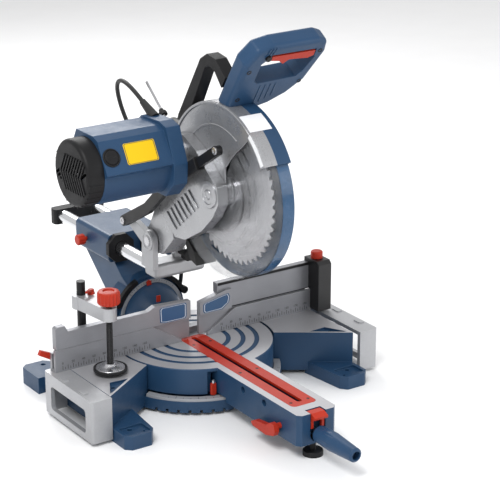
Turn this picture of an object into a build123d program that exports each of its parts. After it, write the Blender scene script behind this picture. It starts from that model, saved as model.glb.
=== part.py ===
"""Sliding compound mitre saw, 254 mm blade, head raised, standing on its own feet.

Frame: +X to the operator's right, +Y away from the operator, +Z up, millimetres.
The origin is on the bench plane under the mitre pivot, at the centre of the bench bolt pattern.
"""
import os
from math import atan2, cos, degrees, hypot, pi, radians, sin, tan

from build123d import *

os.makedirs("parts", exist_ok=True)

# ---------------------------------------------------------------- driving dimensions
TABLE_Z = 80.0          # height of the table face above the bench
PLAY = 0.3              # gap between faces that pass each other
FIT = 0.05              # radial clearance of a running fit

DRUM_R = 138.0          # turntable
DRUM_Z0 = 34.0
PAN_R = 152.0           # round pan of the base under the turntable
PAN_Z0, PAN_Z1 = 14.0, 26.0
ARM_HALF = 38.0         # half width of the turntable arm
ARM_FRONT = -370.0
SLOT_FRONT, SLOT_REAR = -335.0, 13.0
INSERT_HALF = 24.5
KERF_HALF = 5.2
GROOVE_RADII = (59.0, 85.0, 109.0)
GROOVE_W = 8.5

WING_X = 247.0          # outer side of each table wing
WING_WALL = 6.0
WING_REAR = 44.0
EXT_W = 38.0            # width of a slide-out extension
EXT_FRONT, EXT_REAR = -140.0, 23.0
RIGHT_EXT_OUT = 10.0    # how far the right extension is pulled out at rest
ROD_R = 4.0
ROD_Z = 67.0
ROD_YS = (-62.0, -2.0)

BOLT_X, BOLT_Y = 222.0, 150.0   # bench bolt pattern, half spacings
BOLT_R = 4.5

FENCE_TOP = 120.0       # fixed lower fence
FENCE_END = 276.0
UPPER_TOP = 150.0
RAIL_TOP = 170.0

CLAMP_X, CLAMP_Y = 207.0, 30.0  # clamp post socket, mirrored on the right
CLAMP_R = 7.5
SCREW_X, SCREW_Y = -197.0, -47.0

BEVEL_Y = 152.0         # joint face between turntable neck and tilt arm
BEVEL_R = 66.0
PIVOT_R = 10.0

RAIL_X = 35.5           # slide rails
RAIL_Z = 199.5
RAIL_R = 12.5
BEARING_R = 16.5
HOUSE_HALF, HOUSE_Y0, HOUSE_Y1 = 57.0, 199.0, 318.0
HOUSE_Z0, HOUSE_Z1 = 172.0, 224.0
BAR_HALF, BAR_Y0, BAR_Y1 = 52.0, 42.0, 84.0
BAR_Z0, BAR_Z1 = 186.0, 213.0
REAR_Y = 418.0

HINGE = (60.0, 255.0)   # chop hinge, (y, z), axis along X
PIN_R = 8.0
BARREL_R = 19.0
BARREL_HALF = 45.5

BLADE = (-121.0, 387.0)  # blade centre, (y, z), head raised
BLADE_R = 127.0
BLADE_T = 2.4
BORE_R = 15.0
GUARD_R = 152.0         # upper guard
GUARD_HALF = 26.0
LOWER_R = 147.3         # lower guard, runs inside the upper one
LOWER_HALF = 22.6
SKIN = 2.0

MOTOR = (-33.0, 436.0)  # motor axis, (y, z)
MOTOR_R = 58.5
MOTOR_X0, MOTOR_X1 = -253.0, -73.0
CAP_X1 = -222.0
CASE_X0, CASE_X1 = -46.5, -26.3

GRIP_LEAN = 33.0        # the handle leans forward by this angle from upright
GRIP_FOOT = (-137.0, 552.0)
GRIP_T = 34.0

LINK_PIVOT = (122.0, 277.0)
LINK_X0, LINK_X1 = -69.5, -59.5

CORD_D = 7.5
COIL_C = (22.0, 258.0)
COIL_R = 45.0


# ---------------------------------------------------------------- helpers
def side_plane(x, point=(0.0, 0.0)):
    """A sketch plane facing +X at x: its own x runs along +Y, its own y along +Z."""
    return Plane((x, point[0], point[1]), x_dir=(0, 1, 0), z_dir=(1, 0, 0))


def front_plane(y, x=0.0, z=0.0):
    """A sketch plane facing -Y at y: its own x runs along +X, its own y along +Z."""
    return Plane((x, y, z), x_dir=(1, 0, 0), z_dir=(0, -1, 0))


def sector_points(a0, a1, r, steps=12):
    """A pie outline on a side plane centred on the blade, angles up from the front."""
    turns = [radians(a0 + (a1 - a0) * i / steps) for i in range(steps + 1)]
    return [(0, 0)] + [(-r * cos(t), r * sin(t)) for t in turns]


def save(piece, name):
    piece.part.label = name
    export_step(piece.part, f"parts/{name}.step")


# ================================================================ BASE
def wing_outline(s):
    return [
        (s * 60, WING_REAR), (s * 60, -20), (s * 118, -46),
        (s * WING_X, -133), (s * WING_X, WING_REAR),
    ]


def foot_outline(s):
    return [
        (s * 180, -80), (s * 190, -172), (s * 200, -184), (s * 236, -184),
        (s * 246, -174), (s * 246, -120),
    ]


def rear_foot_outline(s):
    return [
        (s * 192, 36), (s * 246, 36), (s * 246, 92), (s * 258, 100), (s * 258, 158),
        (s * 248, 167), (s * 214, 167), (s * 205, 158), (s * 205, 104), (s * 192, 92),
    ]


with BuildPart() as base:
    with BuildSketch(Plane.XY.offset(PAN_Z0)):
        Circle(PAN_R)
    extrude(amount=PAN_Z1 - PAN_Z0)
    with BuildSketch(Plane.XY.offset(6)):
        Circle(PAN_R)
        Circle(PAN_R - 8, mode=Mode.SUBTRACT)
    extrude(amount=PAN_Z0 - 6)
    for s in (-1, 1):
        with BuildSketch(Plane.XY.offset(8)):
            with BuildLine():
                Polyline(wing_outline(s), close=True)
            make_face()
        extrude(amount=TABLE_Z - 8)
        with BuildSketch(Plane.XY):
            with BuildLine():
                Polyline(foot_outline(s), close=True)
            make_face()
        extrude(amount=24)
        with BuildSketch(Plane.XY.offset(8)):
            with BuildLine():
                Polyline(rear_foot_outline(s)[0:2] + [(s * 246, 120), (s * 205, 120)], close=True)
            make_face()
        extrude(amount=22)
        with BuildSketch(Plane.XY):
            with BuildLine():
                Polyline(rear_foot_outline(s)[3:9], close=True)
            make_face()
        extrude(amount=30)
    # round well for the turntable, then the pads it rests on
    with BuildSketch(Plane.XY.offset(PAN_Z1)):
        Circle(DRUM_R + 3.5)
    extrude(amount=TABLE_Z, mode=Mode.SUBTRACT)
    # the wings are hollow from below
    for s in (-1, 1):
        with BuildSketch(Plane.XY) as hollow:
            with BuildLine():
                Polyline(wing_outline(s), close=True)
            make_face()
            offset(amount=-WING_WALL, kind=Kind.INTERSECTION)
            Circle(PAN_R + 3, mode=Mode.SUBTRACT)
        extrude(amount=TABLE_Z - 7, mode=Mode.SUBTRACT)
    with BuildSketch(Plane.XY.offset(PAN_Z1)):
        Circle(108)
        Circle(94, mode=Mode.SUBTRACT)
        Circle(30)
    extrude(amount=DRUM_Z0 - PLAY - PAN_Z1)
    with BuildSketch(Plane.XY.offset(6)):
        Circle(30)
    extrude(amount=PAN_Z0 - 6)
    for s in (-1, 1):
        # guide bosses of the extension rods, clamp post socket
        for y in ROD_YS:
            with BuildSketch(side_plane(s * WING_X)):
                with Locations((y, ROD_Z - 2)):
                    Circle(8.5)
            extrude(amount=-s * 40)
        with BuildSketch(Plane.XY.offset(30)):
            with Locations((s * CLAMP_X, CLAMP_Y)):
                Circle(13.5)
        extrude(amount=TABLE_Z - 30)
        for y in ROD_YS:
            with BuildSketch(side_plane(s * (WING_X + 1))):
                with Locations((y, ROD_Z)):
                    Circle(ROD_R + FIT)
            extrude(amount=-s * 42, mode=Mode.SUBTRACT)
        with BuildSketch(Plane.XY.offset(36)):
            with Locations((s * CLAMP_X, CLAMP_Y)):
                Circle(CLAMP_R + FIT)
        extrude(amount=TABLE_Z, mode=Mode.SUBTRACT)
        # recess at the outer front corner of each wing
        with BuildSketch(Plane.XY.offset(TABLE_Z - 4)):
            with BuildLine():
                Polyline((s * 186, -86), (s * 220, -84), (s * 241, -122), (s * 236, -121), close=True)
            make_face()
        extrude(amount=8, mode=Mode.SUBTRACT)
        with BuildSketch(Plane.XY.offset(60)):
            with Locations((s * 222, -98)):
                Circle(4)
        extrude(amount=20, mode=Mode.SUBTRACT)
        # front foot pads with a bench bolt hole and a nail hole
        with BuildSketch(Plane.XY.offset(20)):
            with Locations((s * 218, -160)):
                RectangleRounded(44, 32, 4)
        extrude(amount=6, mode=Mode.SUBTRACT)
        with BuildSketch(Plane.XY.offset(-1)):
            with Locations((s * BOLT_X, -BOLT_Y), (s * BOLT_X, BOLT_Y)):
                Circle(BOLT_R)
            with Locations((s * 204, -166)):
                Circle(2.5)
        extrude(amount=40, mode=Mode.SUBTRACT)
    # rim notches and the pivot bolt hole
    with BuildSketch(Plane.XY.offset(5)):
        with PolarLocations(PAN_R - 2, 15, start_angle=212, angular_range=112):
            Rectangle(14, 5)
    extrude(amount=6, mode=Mode.SUBTRACT)
    with BuildSketch(Plane.XY):
        Circle(PIN_R)
    extrude(amount=TABLE_Z, mode=Mode.SUBTRACT)
    edges_top = base.edges().filter_by(Axis.Z).filter_by(lambda e: e.length > 20 and e.center().Y < -170)
    fillet(edges_top, 3)
save(base, "base_casting")

# graduated ring around the turntable
with BuildPart() as mitre_scale:
    with BuildSketch(Plane.XY.offset(PAN_Z1)):
        Circle(PAN_R - 1)
        Circle(DRUM_R + 1, mode=Mode.SUBTRACT)
        for s in (-1, 1):
            with BuildLine():
                Polyline((s * 100, -37), (s * 300, -172), (s * 300, 200), (s * 100, 200), close=True)
            make_face(mode=Mode.SUBTRACT)
    extrude(amount=5)
save(mitre_scale, "mitre_scale")

with BuildPart() as pivot_bolt:
    with BuildSketch(Plane.XY.offset(PAN_Z0 - 10)):
        RegularPolygon(14, 6)
    extrude(amount=2)
    with BuildSketch(Plane.XY.offset(6)):
        Circle(PIN_R)
    extrude(amount=50)
save(pivot_bolt, "pivot_bolt")

# fixed lower fence: a channel each side of the blade, joined by a low bridge behind it
with BuildPart() as lower_fence:
    for s in (-1, 1):
        with BuildSketch(front_plane(0)):
            with BuildLine():
                Polyline(
                    (s * 27, TABLE_Z + 0.4), (s * 27, 84), (s * 85, FENCE_TOP),
                    (s * FENCE_END, FENCE_TOP), (s * FENCE_END, TABLE_Z + 0.4), close=True,
                )
            make_face()
        extrude(amount=-5)
        with BuildSketch(front_plane(11.5)):
            with BuildLine():
                Polyline(
                    (s * 42, TABLE_Z + 0.4), (s * 42, 92), (s * 60, 112),
                    (s * FENCE_END, 112), (s * FENCE_END, TABLE_Z + 0.4), close=True,
                )
            make_face()
        extrude(amount=-6.5)
        with BuildSketch(Plane.XY.offset(TABLE_Z + 0.4)):
            with Locations((s * 158, 9)):
                Rectangle(236, 18)
            with Locations((s * 51, 27)):
                Rectangle(18, 30)
        extrude(amount=3.6)
        with BuildSketch(Plane.XY.offset(TABLE_Z)):
            with Locations((s * 210, 9)):
                Rectangle(132, 18)
        extrude(amount=2)
        # triangular ribs behind each half, clear of the clamp socket
        for x in (120, 180, 240):
            with BuildSketch(side_plane(s * x - 2)):
                with BuildLine():
                    Polyline((17, TABLE_Z + 0.4), (17, 108), (23, 92), (23, TABLE_Z + 0.4), close=True)
                make_face()
            extrude(amount=4)
    with BuildSketch(Plane.XY.offset(TABLE_Z + 0.4)):
        with Locations((0, 34)):
            Rectangle(120, 16)
    extrude(amount=11)
save(lower_fence, "lower_fence")

# ================================================================ SLIDE-OUT EXTENSIONS
for side, s, out in (("left", -1, 0.0), ("right", 1, RIGHT_EXT_OUT)):
    x_in = WING_X + 1.0 + out
    x_out = x_in + EXT_W
    y_mid = (EXT_FRONT + EXT_REAR) / 2
    length = EXT_REAR - EXT_FRONT
    with BuildPart() as extension:
        with BuildSketch(Plane.XY.offset(6)):
            with Locations((s * (x_in + x_out) / 2, y_mid)):
                Rectangle(EXT_W, length)
        extrude(amount=TABLE_Z - 6)
        fillet(extension.edges().filter_by(Axis.Z).filter_by(lambda e: abs(e.center().X) > x_out - 1), 5)
        with BuildSketch(Plane.XY.offset(-1)):
            with Locations((s * (x_in + x_out - 8) / 2, y_mid)):
                Rectangle(EXT_W - 8, length - 16)
        extrude(amount=TABLE_Z - 6, mode=Mode.SUBTRACT)
        with BuildSketch(side_plane(s * (x_out + 1), (y_mid, 38))):
            RectangleRounded(length - 44, 42, 7)
        extrude(amount=-s * 12, mode=Mode.SUBTRACT)
        with BuildSketch(side_plane(s * x_in)):
            for y in ROD_YS:
                with Locations((y, ROD_Z)):
                    Circle(ROD_R)
        extrude(amount=s * (EXT_W - 4), mode=Mode.SUBTRACT)
        # two raised work stops along the outer edge
        with BuildSketch(Plane.XY.offset(TABLE_Z)):
            with Locations((s * (x_out - 9), -96), (s * (x_out - 9), -30)):
                RectangleRounded(11, 20, 3)
        extrude(amount=2)
    save(extension, f"{side}_extension")
    with BuildPart() as rods:
        with BuildSketch(side_plane(s * (x_out - 4))):
            for y in ROD_YS:
                with Locations((y, ROD_Z)):
                    Circle(ROD_R)
        extrude(amount=-s * 114)
    save(rods, f"{side}_extension_rods")

# ================================================================ TURNTABLE
with BuildPart() as turntable:
    with BuildSketch(Plane.XY.offset(DRUM_Z0)):
        Circle(DRUM_R)
    extrude(amount=TABLE_Z - DRUM_Z0)
    chamfer(turntable.edges().group_by(Axis.Z)[-1], 1.2)
    with BuildSketch(Plane.XY.offset(DRUM_Z0)):
        with Locations((0, ARM_FRONT / 2)):
            Rectangle(2 * ARM_HALF, -ARM_FRONT)
    extrude(amount=TABLE_Z - DRUM_Z0)
    arm_root = -(PAN_R + 5)
    with BuildSketch(Plane.XY.offset(PAN_Z1)):
        with Locations((0, (ARM_FRONT + arm_root) / 2)):
            Rectangle(2 * ARM_HALF, arm_root - ARM_FRONT)
    extrude(amount=DRUM_Z0 - PAN_Z1 + 1)
    front_corners = turntable.edges().filter_by(Axis.Z).filter_by(lambda e: e.center().Y < ARM_FRONT + 1)
    chamfer(front_corners, 7)
    # neck and dome that carry the bevel joint
    with BuildSketch(Plane.XY.offset(DRUM_Z0)):
        with Locations((0, 105)):
            Rectangle(100, 90)
    extrude(amount=38)
    with BuildSketch(Plane.YZ):
        with BuildLine():
            Spline((98, TABLE_Z + 18), (112, TABLE_Z + 42), (130, TABLE_Z + 54), (144, TABLE_Z + 58))
            Polyline(
                (144, TABLE_Z + 58), (146, TABLE_Z + 58), (146, TABLE_Z + BEVEL_R),
                (BEVEL_Y, TABLE_Z + BEVEL_R), (BEVEL_Y, TABLE_Z), (98, TABLE_Z), (98, TABLE_Z + 18),
            )
        make_face()
    revolve(axis=Axis((0, 0, TABLE_Z), (0, 1, 0)), revolution_arc=360)
    with BuildSketch(Plane.XY):
        with Locations((0, 150)):
            Rectangle(300, 60)
    extrude(amount=DRUM_Z0, mode=Mode.SUBTRACT)
    # underside: hollow drum with a hub and the walls of the arm
    with BuildSketch(Plane.XY.offset(DRUM_Z0 - 1)):
        Circle(DRUM_R - 9)
        Circle(112, mode=Mode.SUBTRACT)
        with Locations((0, -125)):
            Rectangle(2 * ARM_HALF, 120, mode=Mode.SUBTRACT)
        with Locations((0, 125)):
            Rectangle(104, 60, mode=Mode.SUBTRACT)
    extrude(amount=36, mode=Mode.SUBTRACT)
    with BuildSketch(Plane.XY.offset(DRUM_Z0 - 1)):
        Circle(92)
        Circle(28, mode=Mode.SUBTRACT)
        with Locations((0, -60)):
            Rectangle(2 * ARM_HALF, 120, mode=Mode.SUBTRACT)
    extrude(amount=26, mode=Mode.SUBTRACT)
    with BuildSketch(Plane.XY.offset(PAN_Z1 - 1)):
        with Locations((0, -256)):
            Rectangle(62, 176)
    extrude(amount=27, mode=Mode.SUBTRACT)
    # top face: grooves, insert seat, kerf well
    with BuildSketch(Plane.XY.offset(TABLE_Z - 1.2)):
        for r in sorted(GROOVE_RADII, reverse=True):
            Circle(r + GROOVE_W / 2)
            Circle(r - GROOVE_W / 2, mode=Mode.SUBTRACT)
    extrude(amount=2, mode=Mode.SUBTRACT)
    with BuildSketch(Plane.XY.offset(TABLE_Z - 4.5)):
        with Locations((0, (SLOT_FRONT + SLOT_REAR) / 2)):
            RectangleRounded(2 * INSERT_HALF + 0.4, SLOT_REAR - SLOT_FRONT + 0.4, 9)
    extrude(amount=5, mode=Mode.SUBTRACT)
    with BuildSketch(Plane.XY.offset(60)):
        with Locations((0, -160)):
            RectangleRounded(34, 330, 6)
    extrude(amount=20, mode=Mode.SUBTRACT)
    with BuildSketch(Plane.XY.offset(DRUM_Z0 - 1)):
        Circle(PIN_R + FIT)
    extrude(amount=24, mode=Mode.SUBTRACT)
    # lock rod tunnel, detent lever slot, pointer niche, side holes, bevel pivot, foot
    with BuildSketch(front_plane(ARM_FRONT - 1, 0, 43)):
        Circle(5 + FIT)
    extrude(amount=-212, mode=Mode.SUBTRACT)
    with BuildSketch(front_plane(ARM_FRONT - 1, 0, 0)):
        with Locations((0, 67)):
            Rectangle(30, 40)
        with Locations((0, 43)):
            Circle(15)
    extrude(amount=-17, mode=Mode.SUBTRACT)
    with BuildSketch(Plane.XY.offset(DRUM_Z0 - 1)):
        with Locations((-ARM_HALF - 8.5, -129)):
            Rectangle(17, 16)
    extrude(amount=42, mode=Mode.SUBTRACT)
    with BuildSketch(side_plane(-ARM_HALF - 1)):
        with Locations((-210, 68), (-272, 68)):
            Circle(6)
        with Locations((-318, 46)):
            Circle(5 + FIT)
    extrude(amount=7, mode=Mode.SUBTRACT)
    with BuildSketch(front_plane(90, 0, TABLE_Z)):
        Circle(PIVOT_R)
    extrude(amount=-(BEVEL_Y - 88), mode=Mode.SUBTRACT)
    with BuildSketch(Plane.XY.offset(PAN_Z1 - 1)):
        with Locations((0, -357)):
            Circle(5 + FIT)
    extrude(amount=9, mode=Mode.SUBTRACT)
save(turntable, "turntable")

with BuildPart() as kerf_insert:
    with BuildSketch(Plane.XY.offset(TABLE_Z - 4.5)):
        with Locations((0, (SLOT_FRONT + SLOT_REAR) / 2)):
            RectangleRounded(2 * INSERT_HALF, SLOT_REAR - SLOT_FRONT, 9)
        with Locations((0, (SLOT_FRONT + 12 + SLOT_REAR) / 2 - 2)):
            SlotOverall(SLOT_REAR - SLOT_FRONT - 20, 2 * KERF_HALF, rotation=90, mode=Mode.SUBTRACT)
    extrude(amount=4.5)
    with Locations(*[
        (s * 17, y, TABLE_Z) for s in (-1, 1) for y in (-318, -170, -24)
    ]):
        CounterSinkHole(1.6, 3.2)
save(kerf_insert, "kerf_insert")

with BuildPart() as bevel_scale:
    with BuildSketch(front_plane(144.6, 0, TABLE_Z)):
        Circle(BEVEL_R - 0.5)
        Circle(BEVEL_R - 7.5, mode=Mode.SUBTRACT)
        with Locations((0, -50)):
            Rectangle(200, 120, mode=Mode.SUBTRACT)
    extrude(amount=-1.4)
save(bevel_scale, "bevel_scale")

with BuildPart() as bevel_pivot_bolt:
    with BuildSketch(front_plane(100, 0, TABLE_Z)):
        Circle(PIVOT_R)
    extrude(amount=-98)
    with BuildSketch(front_plane(198, 0, TABLE_Z)):
        RegularPolygon(15, 6)
    extrude(amount=-10)
save(bevel_pivot_bolt, "bevel_pivot_bolt")

with BuildPart() as front_foot:
    with BuildSketch(Plane.XY):
        with Locations((0, -357)):
            Circle(17)
    extrude(amount=9)
    fillet(front_foot.edges().group_by(Axis.Z)[-1], 2)
    with BuildSketch(Plane.XY.offset(9)):
        with Locations((0, -357)):
            Circle(5)
    extrude(amount=PAN_Z1 - 9 + 7)
save(front_foot, "front_foot")

with BuildPart() as lock_handle:
    with BuildSketch(Plane.YZ):
        with BuildLine():
            Polyline(
                (ARM_FRONT - 2, 43 + 5.2), (ARM_FRONT - 2, 43 + 11), (ARM_FRONT - 6, 43 + 14.5),
                (ARM_FRONT - 40, 43 + 16), (ARM_FRONT - 100, 43 + 12),
                (ARM_FRONT - 103, 43 + 9), (ARM_FRONT - 103, 43 + 7.5),
                (ARM_FRONT - 90, 43 + 7.5), (ARM_FRONT - 90, 43 + 5.2), close=True,
            )
        make_face()
    revolve(axis=Axis((0, 0, 43), (0, 1, 0)), revolution_arc=360)
    with BuildSketch(front_plane(ARM_FRONT - 104, 0, 43)):
        with PolarLocations(18.2, 6):
            Circle(3.2)
    extrude(amount=-88, mode=Mode.SUBTRACT)
save(lock_handle, "mitre_lock_handle")

with BuildPart() as lock_rod:
    with BuildSketch(front_plane(ARM_FRONT - 88, 0, 43)):
        Circle(5)
    extrude(amount=-290)
save(lock_rod, "mitre_lock_rod")

# detent lever: a thumb tab on top with two legs straddling the lock rod
with BuildPart() as detent_lever:
    with BuildSketch(Plane.YZ.offset(-13)):
        with BuildLine():
            Polyline(
                (ARM_FRONT + 14, 79), (ARM_FRONT + 14, 73), (ARM_FRONT + 6, 66), (ARM_FRONT + 6, 52),
                (ARM_FRONT + 1, 52), (ARM_FRONT + 1, 68), (ARM_FRONT - 9, 70), (ARM_FRONT - 10, 74),
                (ARM_FRONT + 1, 79), close=True,
            )
        make_face()
    extrude(amount=26)
    with BuildSketch(front_plane(ARM_FRONT - 12)):
        with Locations((0, 56)):
            Rectangle(16, 22)
    extrude(amount=-30, mode=Mode.SUBTRACT)
save(detent_lever, "detent_lever")

# bevel lock lever on the left side of the arm
with BuildPart() as bevel_lever:
    with BuildSketch(side_plane(-ARM_HALF + 5)):
        with Locations((-318, 46)):
            Circle(5)
    extrude(amount=-12)
    with BuildSketch(side_plane(-ARM_HALF - 7)):
        with BuildLine():
            Polyline(
                (-326, 40), (-322, 52), (-312, 52), (-300, 44), (-268, 40), (-256, 34), (-262, 28),
                (-300, 26), (-322, 32), close=True,
            )
        make_face()
    extrude(amount=-9)
    fillet(bevel_lever.edges().filter_by(Axis.X).filter_by(lambda e: abs(e.length - 9) < 0.1), 2)
save(bevel_lever, "bevel_lock_lever")

# ================================================================ TILT ARM
with BuildPart() as tilt_arm:
    with BuildSketch(front_plane(BEVEL_Y + 0.4, 0, TABLE_Z)):
        Circle(72)
    extrude(amount=-37)
    with BuildSketch(side_plane(-44)):
        with BuildLine():
            Polyline(
                (157, 60), (157, 140), (176, 150), (201, 171), (206, 188), (300, 188), (312, 172),
                (216, 92), (196, 60), close=True,
            )
        make_face()
    extrude(amount=88)
    with BuildSketch(Plane.XY.offset(HOUSE_Z0)):
        with Locations((0, (HOUSE_Y0 + HOUSE_Y1) / 2)):
            Rectangle(2 * HOUSE_HALF, HOUSE_Y1 - HOUSE_Y0)
    extrude(amount=HOUSE_Z1 - HOUSE_Z0)
    corners = tilt_arm.edges().filter_by(Axis.Y).filter_by(
        lambda e: abs(e.center().X) > HOUSE_HALF - 1 and e.center().Z > HOUSE_Z0 - 1
    )
    fillet(corners, 8)
    with BuildSketch(Plane.XY):
        with Locations((0, 170)):
            Rectangle(200, 60)
    extrude(amount=DRUM_Z0, mode=Mode.SUBTRACT)
    with BuildSketch(front_plane(HOUSE_Y0 - 1)):
        with Locations((-RAIL_X, RAIL_Z), (RAIL_X, RAIL_Z)):
            Circle(BEARING_R)
    extrude(amount=-(HOUSE_Y1 - HOUSE_Y0 + 2), mode=Mode.SUBTRACT)
    with BuildSketch(front_plane(BEVEL_Y - 1, 0, TABLE_Z)):
        Circle(PIVOT_R + FIT)
    extrude(amount=-60, mode=Mode.SUBTRACT)
    with BuildSketch(front_plane(188, 0, TABLE_Z)):
        Circle(17)
    extrude(amount=-60, mode=Mode.SUBTRACT)
    with BuildSketch(side_plane(-HOUSE_HALF - 1)):
        with Locations((280, RAIL_Z - 4)):
            Circle(4 + FIT)
    extrude(amount=8, mode=Mode.SUBTRACT)
save(tilt_arm, "tilt_arm")

with BuildPart() as bearing_caps:
    with BuildSketch(front_plane(HOUSE_Y0 - 10)):
        with Locations((-RAIL_X, RAIL_Z), (RAIL_X, RAIL_Z)):
            RegularPolygon(26, 8, major_radius=False, rotation=22.5)
            Circle(RAIL_R + 0.6, mode=Mode.SUBTRACT)
    extrude(amount=-10)
save(bearing_caps, "bearing_caps")

with BuildPart() as linear_bearings:
    for y in (HOUSE_Y0 + 2, HOUSE_Y1 - 42):
        with BuildSketch(front_plane(y)):
            with Locations((-RAIL_X, RAIL_Z), (RAIL_X, RAIL_Z)):
                Circle(BEARING_R)
                Circle(RAIL_R + FIT, mode=Mode.SUBTRACT)
        extrude(amount=-40)
save(linear_bearings, "linear_bearings")

with BuildPart() as rail_knob:
    with BuildSketch(side_plane(-HOUSE_HALF + 3.5)):
        with Locations((280, RAIL_Z - 4)):
            Circle(4)
    extrude(amount=-10)
    with BuildSketch(side_plane(-HOUSE_HALF - 6)):
        with Locations((280, RAIL_Z - 4)):
            Circle(10)
    extrude(amount=-14)
    fillet(rail_knob.edges().group_by(Axis.X)[0], 2.5)
    with BuildSketch(side_plane(-HOUSE_HALF - 6)):
        with Locations((280, RAIL_Z - 4)):
            with PolarLocations(11.4, 8):
                Circle(2.2)
    extrude(amount=-15, mode=Mode.SUBTRACT)
save(rail_knob, "rail_lock_knob")

for side, s in (("left", -1), ("right", 1)):
    with BuildPart() as stop_lever:
        with BuildSketch(front_plane(BEVEL_Y - 9, 0, TABLE_Z)):
            with BuildLine():
                a0, a1 = radians(90 - s * 24), radians(90 - s * 66)
                mid = (a0 + a1) / 2
                r0, r1 = 69.0, 77.0
                ThreePointArc(
                    (r1 * cos(a0), r1 * sin(a0)), (r1 * cos(mid), r1 * sin(mid)), (r1 * cos(a1), r1 * sin(a1))
                )
                Line((r1 * cos(a1), r1 * sin(a1)), (r0 * cos(a1), r0 * sin(a1)))
                ThreePointArc(
                    (r0 * cos(a1), r0 * sin(a1)), (r0 * cos(mid), r0 * sin(mid)), (r0 * cos(a0), r0 * sin(a0))
                )
                Line((r0 * cos(a0), r0 * sin(a0)), (r1 * cos(a0), r1 * sin(a0)))
            make_face()
        extrude(amount=-9)
        with BuildSketch(front_plane(BEVEL_Y - 9, 0, TABLE_Z)):
            with Locations((s * 76 * sin(radians(66)), 76 * cos(radians(66)))):
                Circle(7)
        extrude(amount=-9.4)
    save(stop_lever, f"{side}_bevel_stop")

# ================================================================ CARRIAGE
with BuildPart() as rails:
    with BuildSketch(front_plane(BAR_Y0 + 14)):
        with Locations((-RAIL_X, RAIL_Z), (RAIL_X, RAIL_Z)):
            Circle(RAIL_R)
            Circle(RAIL_R - 3, mode=Mode.SUBTRACT)
    extrude(amount=-(REAR_Y - BAR_Y0 - 14))
save(rails, "slide_rails")

with BuildPart() as bracket:
    with BuildSketch(Plane.XY.offset(BAR_Z0)):
        with Locations((0, (BAR_Y0 + BAR_Y1) / 2)):
            Rectangle(2 * BAR_HALF, BAR_Y1 - BAR_Y0)
    extrude(amount=BAR_Z1 - BAR_Z0)
    fillet(bracket.edges().filter_by(Axis.Z), 9)
    fillet(bracket.edges().filter_by(lambda e: e.center().Y < BAR_Y0 + 1 and e.length > 60), 7)
    for s in (-1, 1):
        with BuildSketch(side_plane(s * 47)):
            with BuildLine():
                Polyline(
                    (HINGE[0] - BARREL_R + 1, BAR_Z1 - 8), (HINGE[0] - BARREL_R, HINGE[1]),
                    (HINGE[0] + BARREL_R, HINGE[1]), (BAR_Y1 - 2, BAR_Z1 - 8), close=True,
                )
            make_face()
            with Locations(HINGE):
                Circle(BARREL_R)
        extrude(amount=s * 10)
    # left ear reaches back to the pivot of the guard link
    with BuildSketch(side_plane(-57)):
        with BuildLine():
            Polyline((70, 242), (120, 267), (122, 287), (66, 270), close=True)
        make_face()
        with Locations(LINK_PIVOT):
            Circle(10)
    extrude(amount=10)
    with BuildSketch(side_plane(-57)):
        with Locations(LINK_PIVOT):
            Circle(5)
    extrude(amount=-14)
    # lug for the depth stop screw
    with BuildSketch(front_plane(58)):
        with Locations((8, 222)):
            RectangleRounded(20, 22, 6)
    extrude(amount=-12)
    with BuildSketch(front_plane(40)):
        with Locations((8, 224)):
            Circle(5 + FIT)
    extrude(amount=-40, mode=Mode.SUBTRACT)
    with BuildSketch(front_plane(BAR_Y0 + 14)):
        with Locations((-RAIL_X, RAIL_Z), (RAIL_X, RAIL_Z)):
            Circle(RAIL_R)
    extrude(amount=-40, mode=Mode.SUBTRACT)
    with BuildSketch(side_plane(-60)):
        with Locations(HINGE):
            Circle(PIN_R)
    extrude(amount=120, mode=Mode.SUBTRACT)
    with BuildSketch(side_plane(40)):
        with Locations((51, 226)):
            Circle(4 + FIT)
    extrude(amount=20, mode=Mode.SUBTRACT)
save(bracket, "carriage_bracket")

with BuildPart() as rear_bar:
    with BuildSketch(Plane.XY.offset(BAR_Z0 - 1)):
        with Locations((0, REAR_Y - 3)):
            RectangleRounded(2 * BAR_HALF + 4, 22, 8)
    extrude(amount=BAR_Z1 - BAR_Z0 + 2)
    with BuildSketch(front_plane(REAR_Y - 20)):
        with Locations((-RAIL_X, RAIL_Z), (RAIL_X, RAIL_Z)):
            Circle(RAIL_R)
    extrude(amount=-20, mode=Mode.SUBTRACT)
save(rear_bar, "rear_bar")

with BuildPart() as hinge_pin:
    with BuildSketch(side_plane(-59)):
        with Locations(HINGE):
            Circle(PIN_R)
    extrude(amount=118)
save(hinge_pin, "hinge_pin")

with BuildPart() as depth_stop:
    with BuildSketch(front_plane(28)):
        with Locations((8, 224)):
            Circle(10)
    extrude(amount=-12)
    with BuildSketch(front_plane(27)):
        with Locations((8, 224)):
            with PolarLocations(11, 8):
                Circle(2)
    extrude(amount=-14, mode=Mode.SUBTRACT)
    with BuildSketch(front_plane(28)):
        with Locations((8, 224)):
            Circle(5)
    extrude(amount=-50)
save(depth_stop, "depth_stop_screw")

with BuildPart() as lock_pin:
    with BuildSketch(side_plane(46)):
        with Locations((51, 226)):
            Circle(4)
    extrude(amount=18)
    with BuildSketch(side_plane(62)):
        with Locations((51, 226)):
            Circle(11)
    extrude(amount=12)
    fillet(lock_pin.edges().group_by(Axis.X)[-1], 3)
save(lock_pin, "lock_pin_knob")

# ================================================================ HEAD
def blade_plane(x):
    return side_plane(x, BLADE)


def full_sector(a0, a1, r):
    """Keep only a pie piece of what a sketch holds so far."""
    points = sector_points(a0, a1, r / cos(radians((a1 - a0) / 24)) + 1)
    Polygon(*points, align=None, mode=Mode.INTERSECT)


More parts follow.
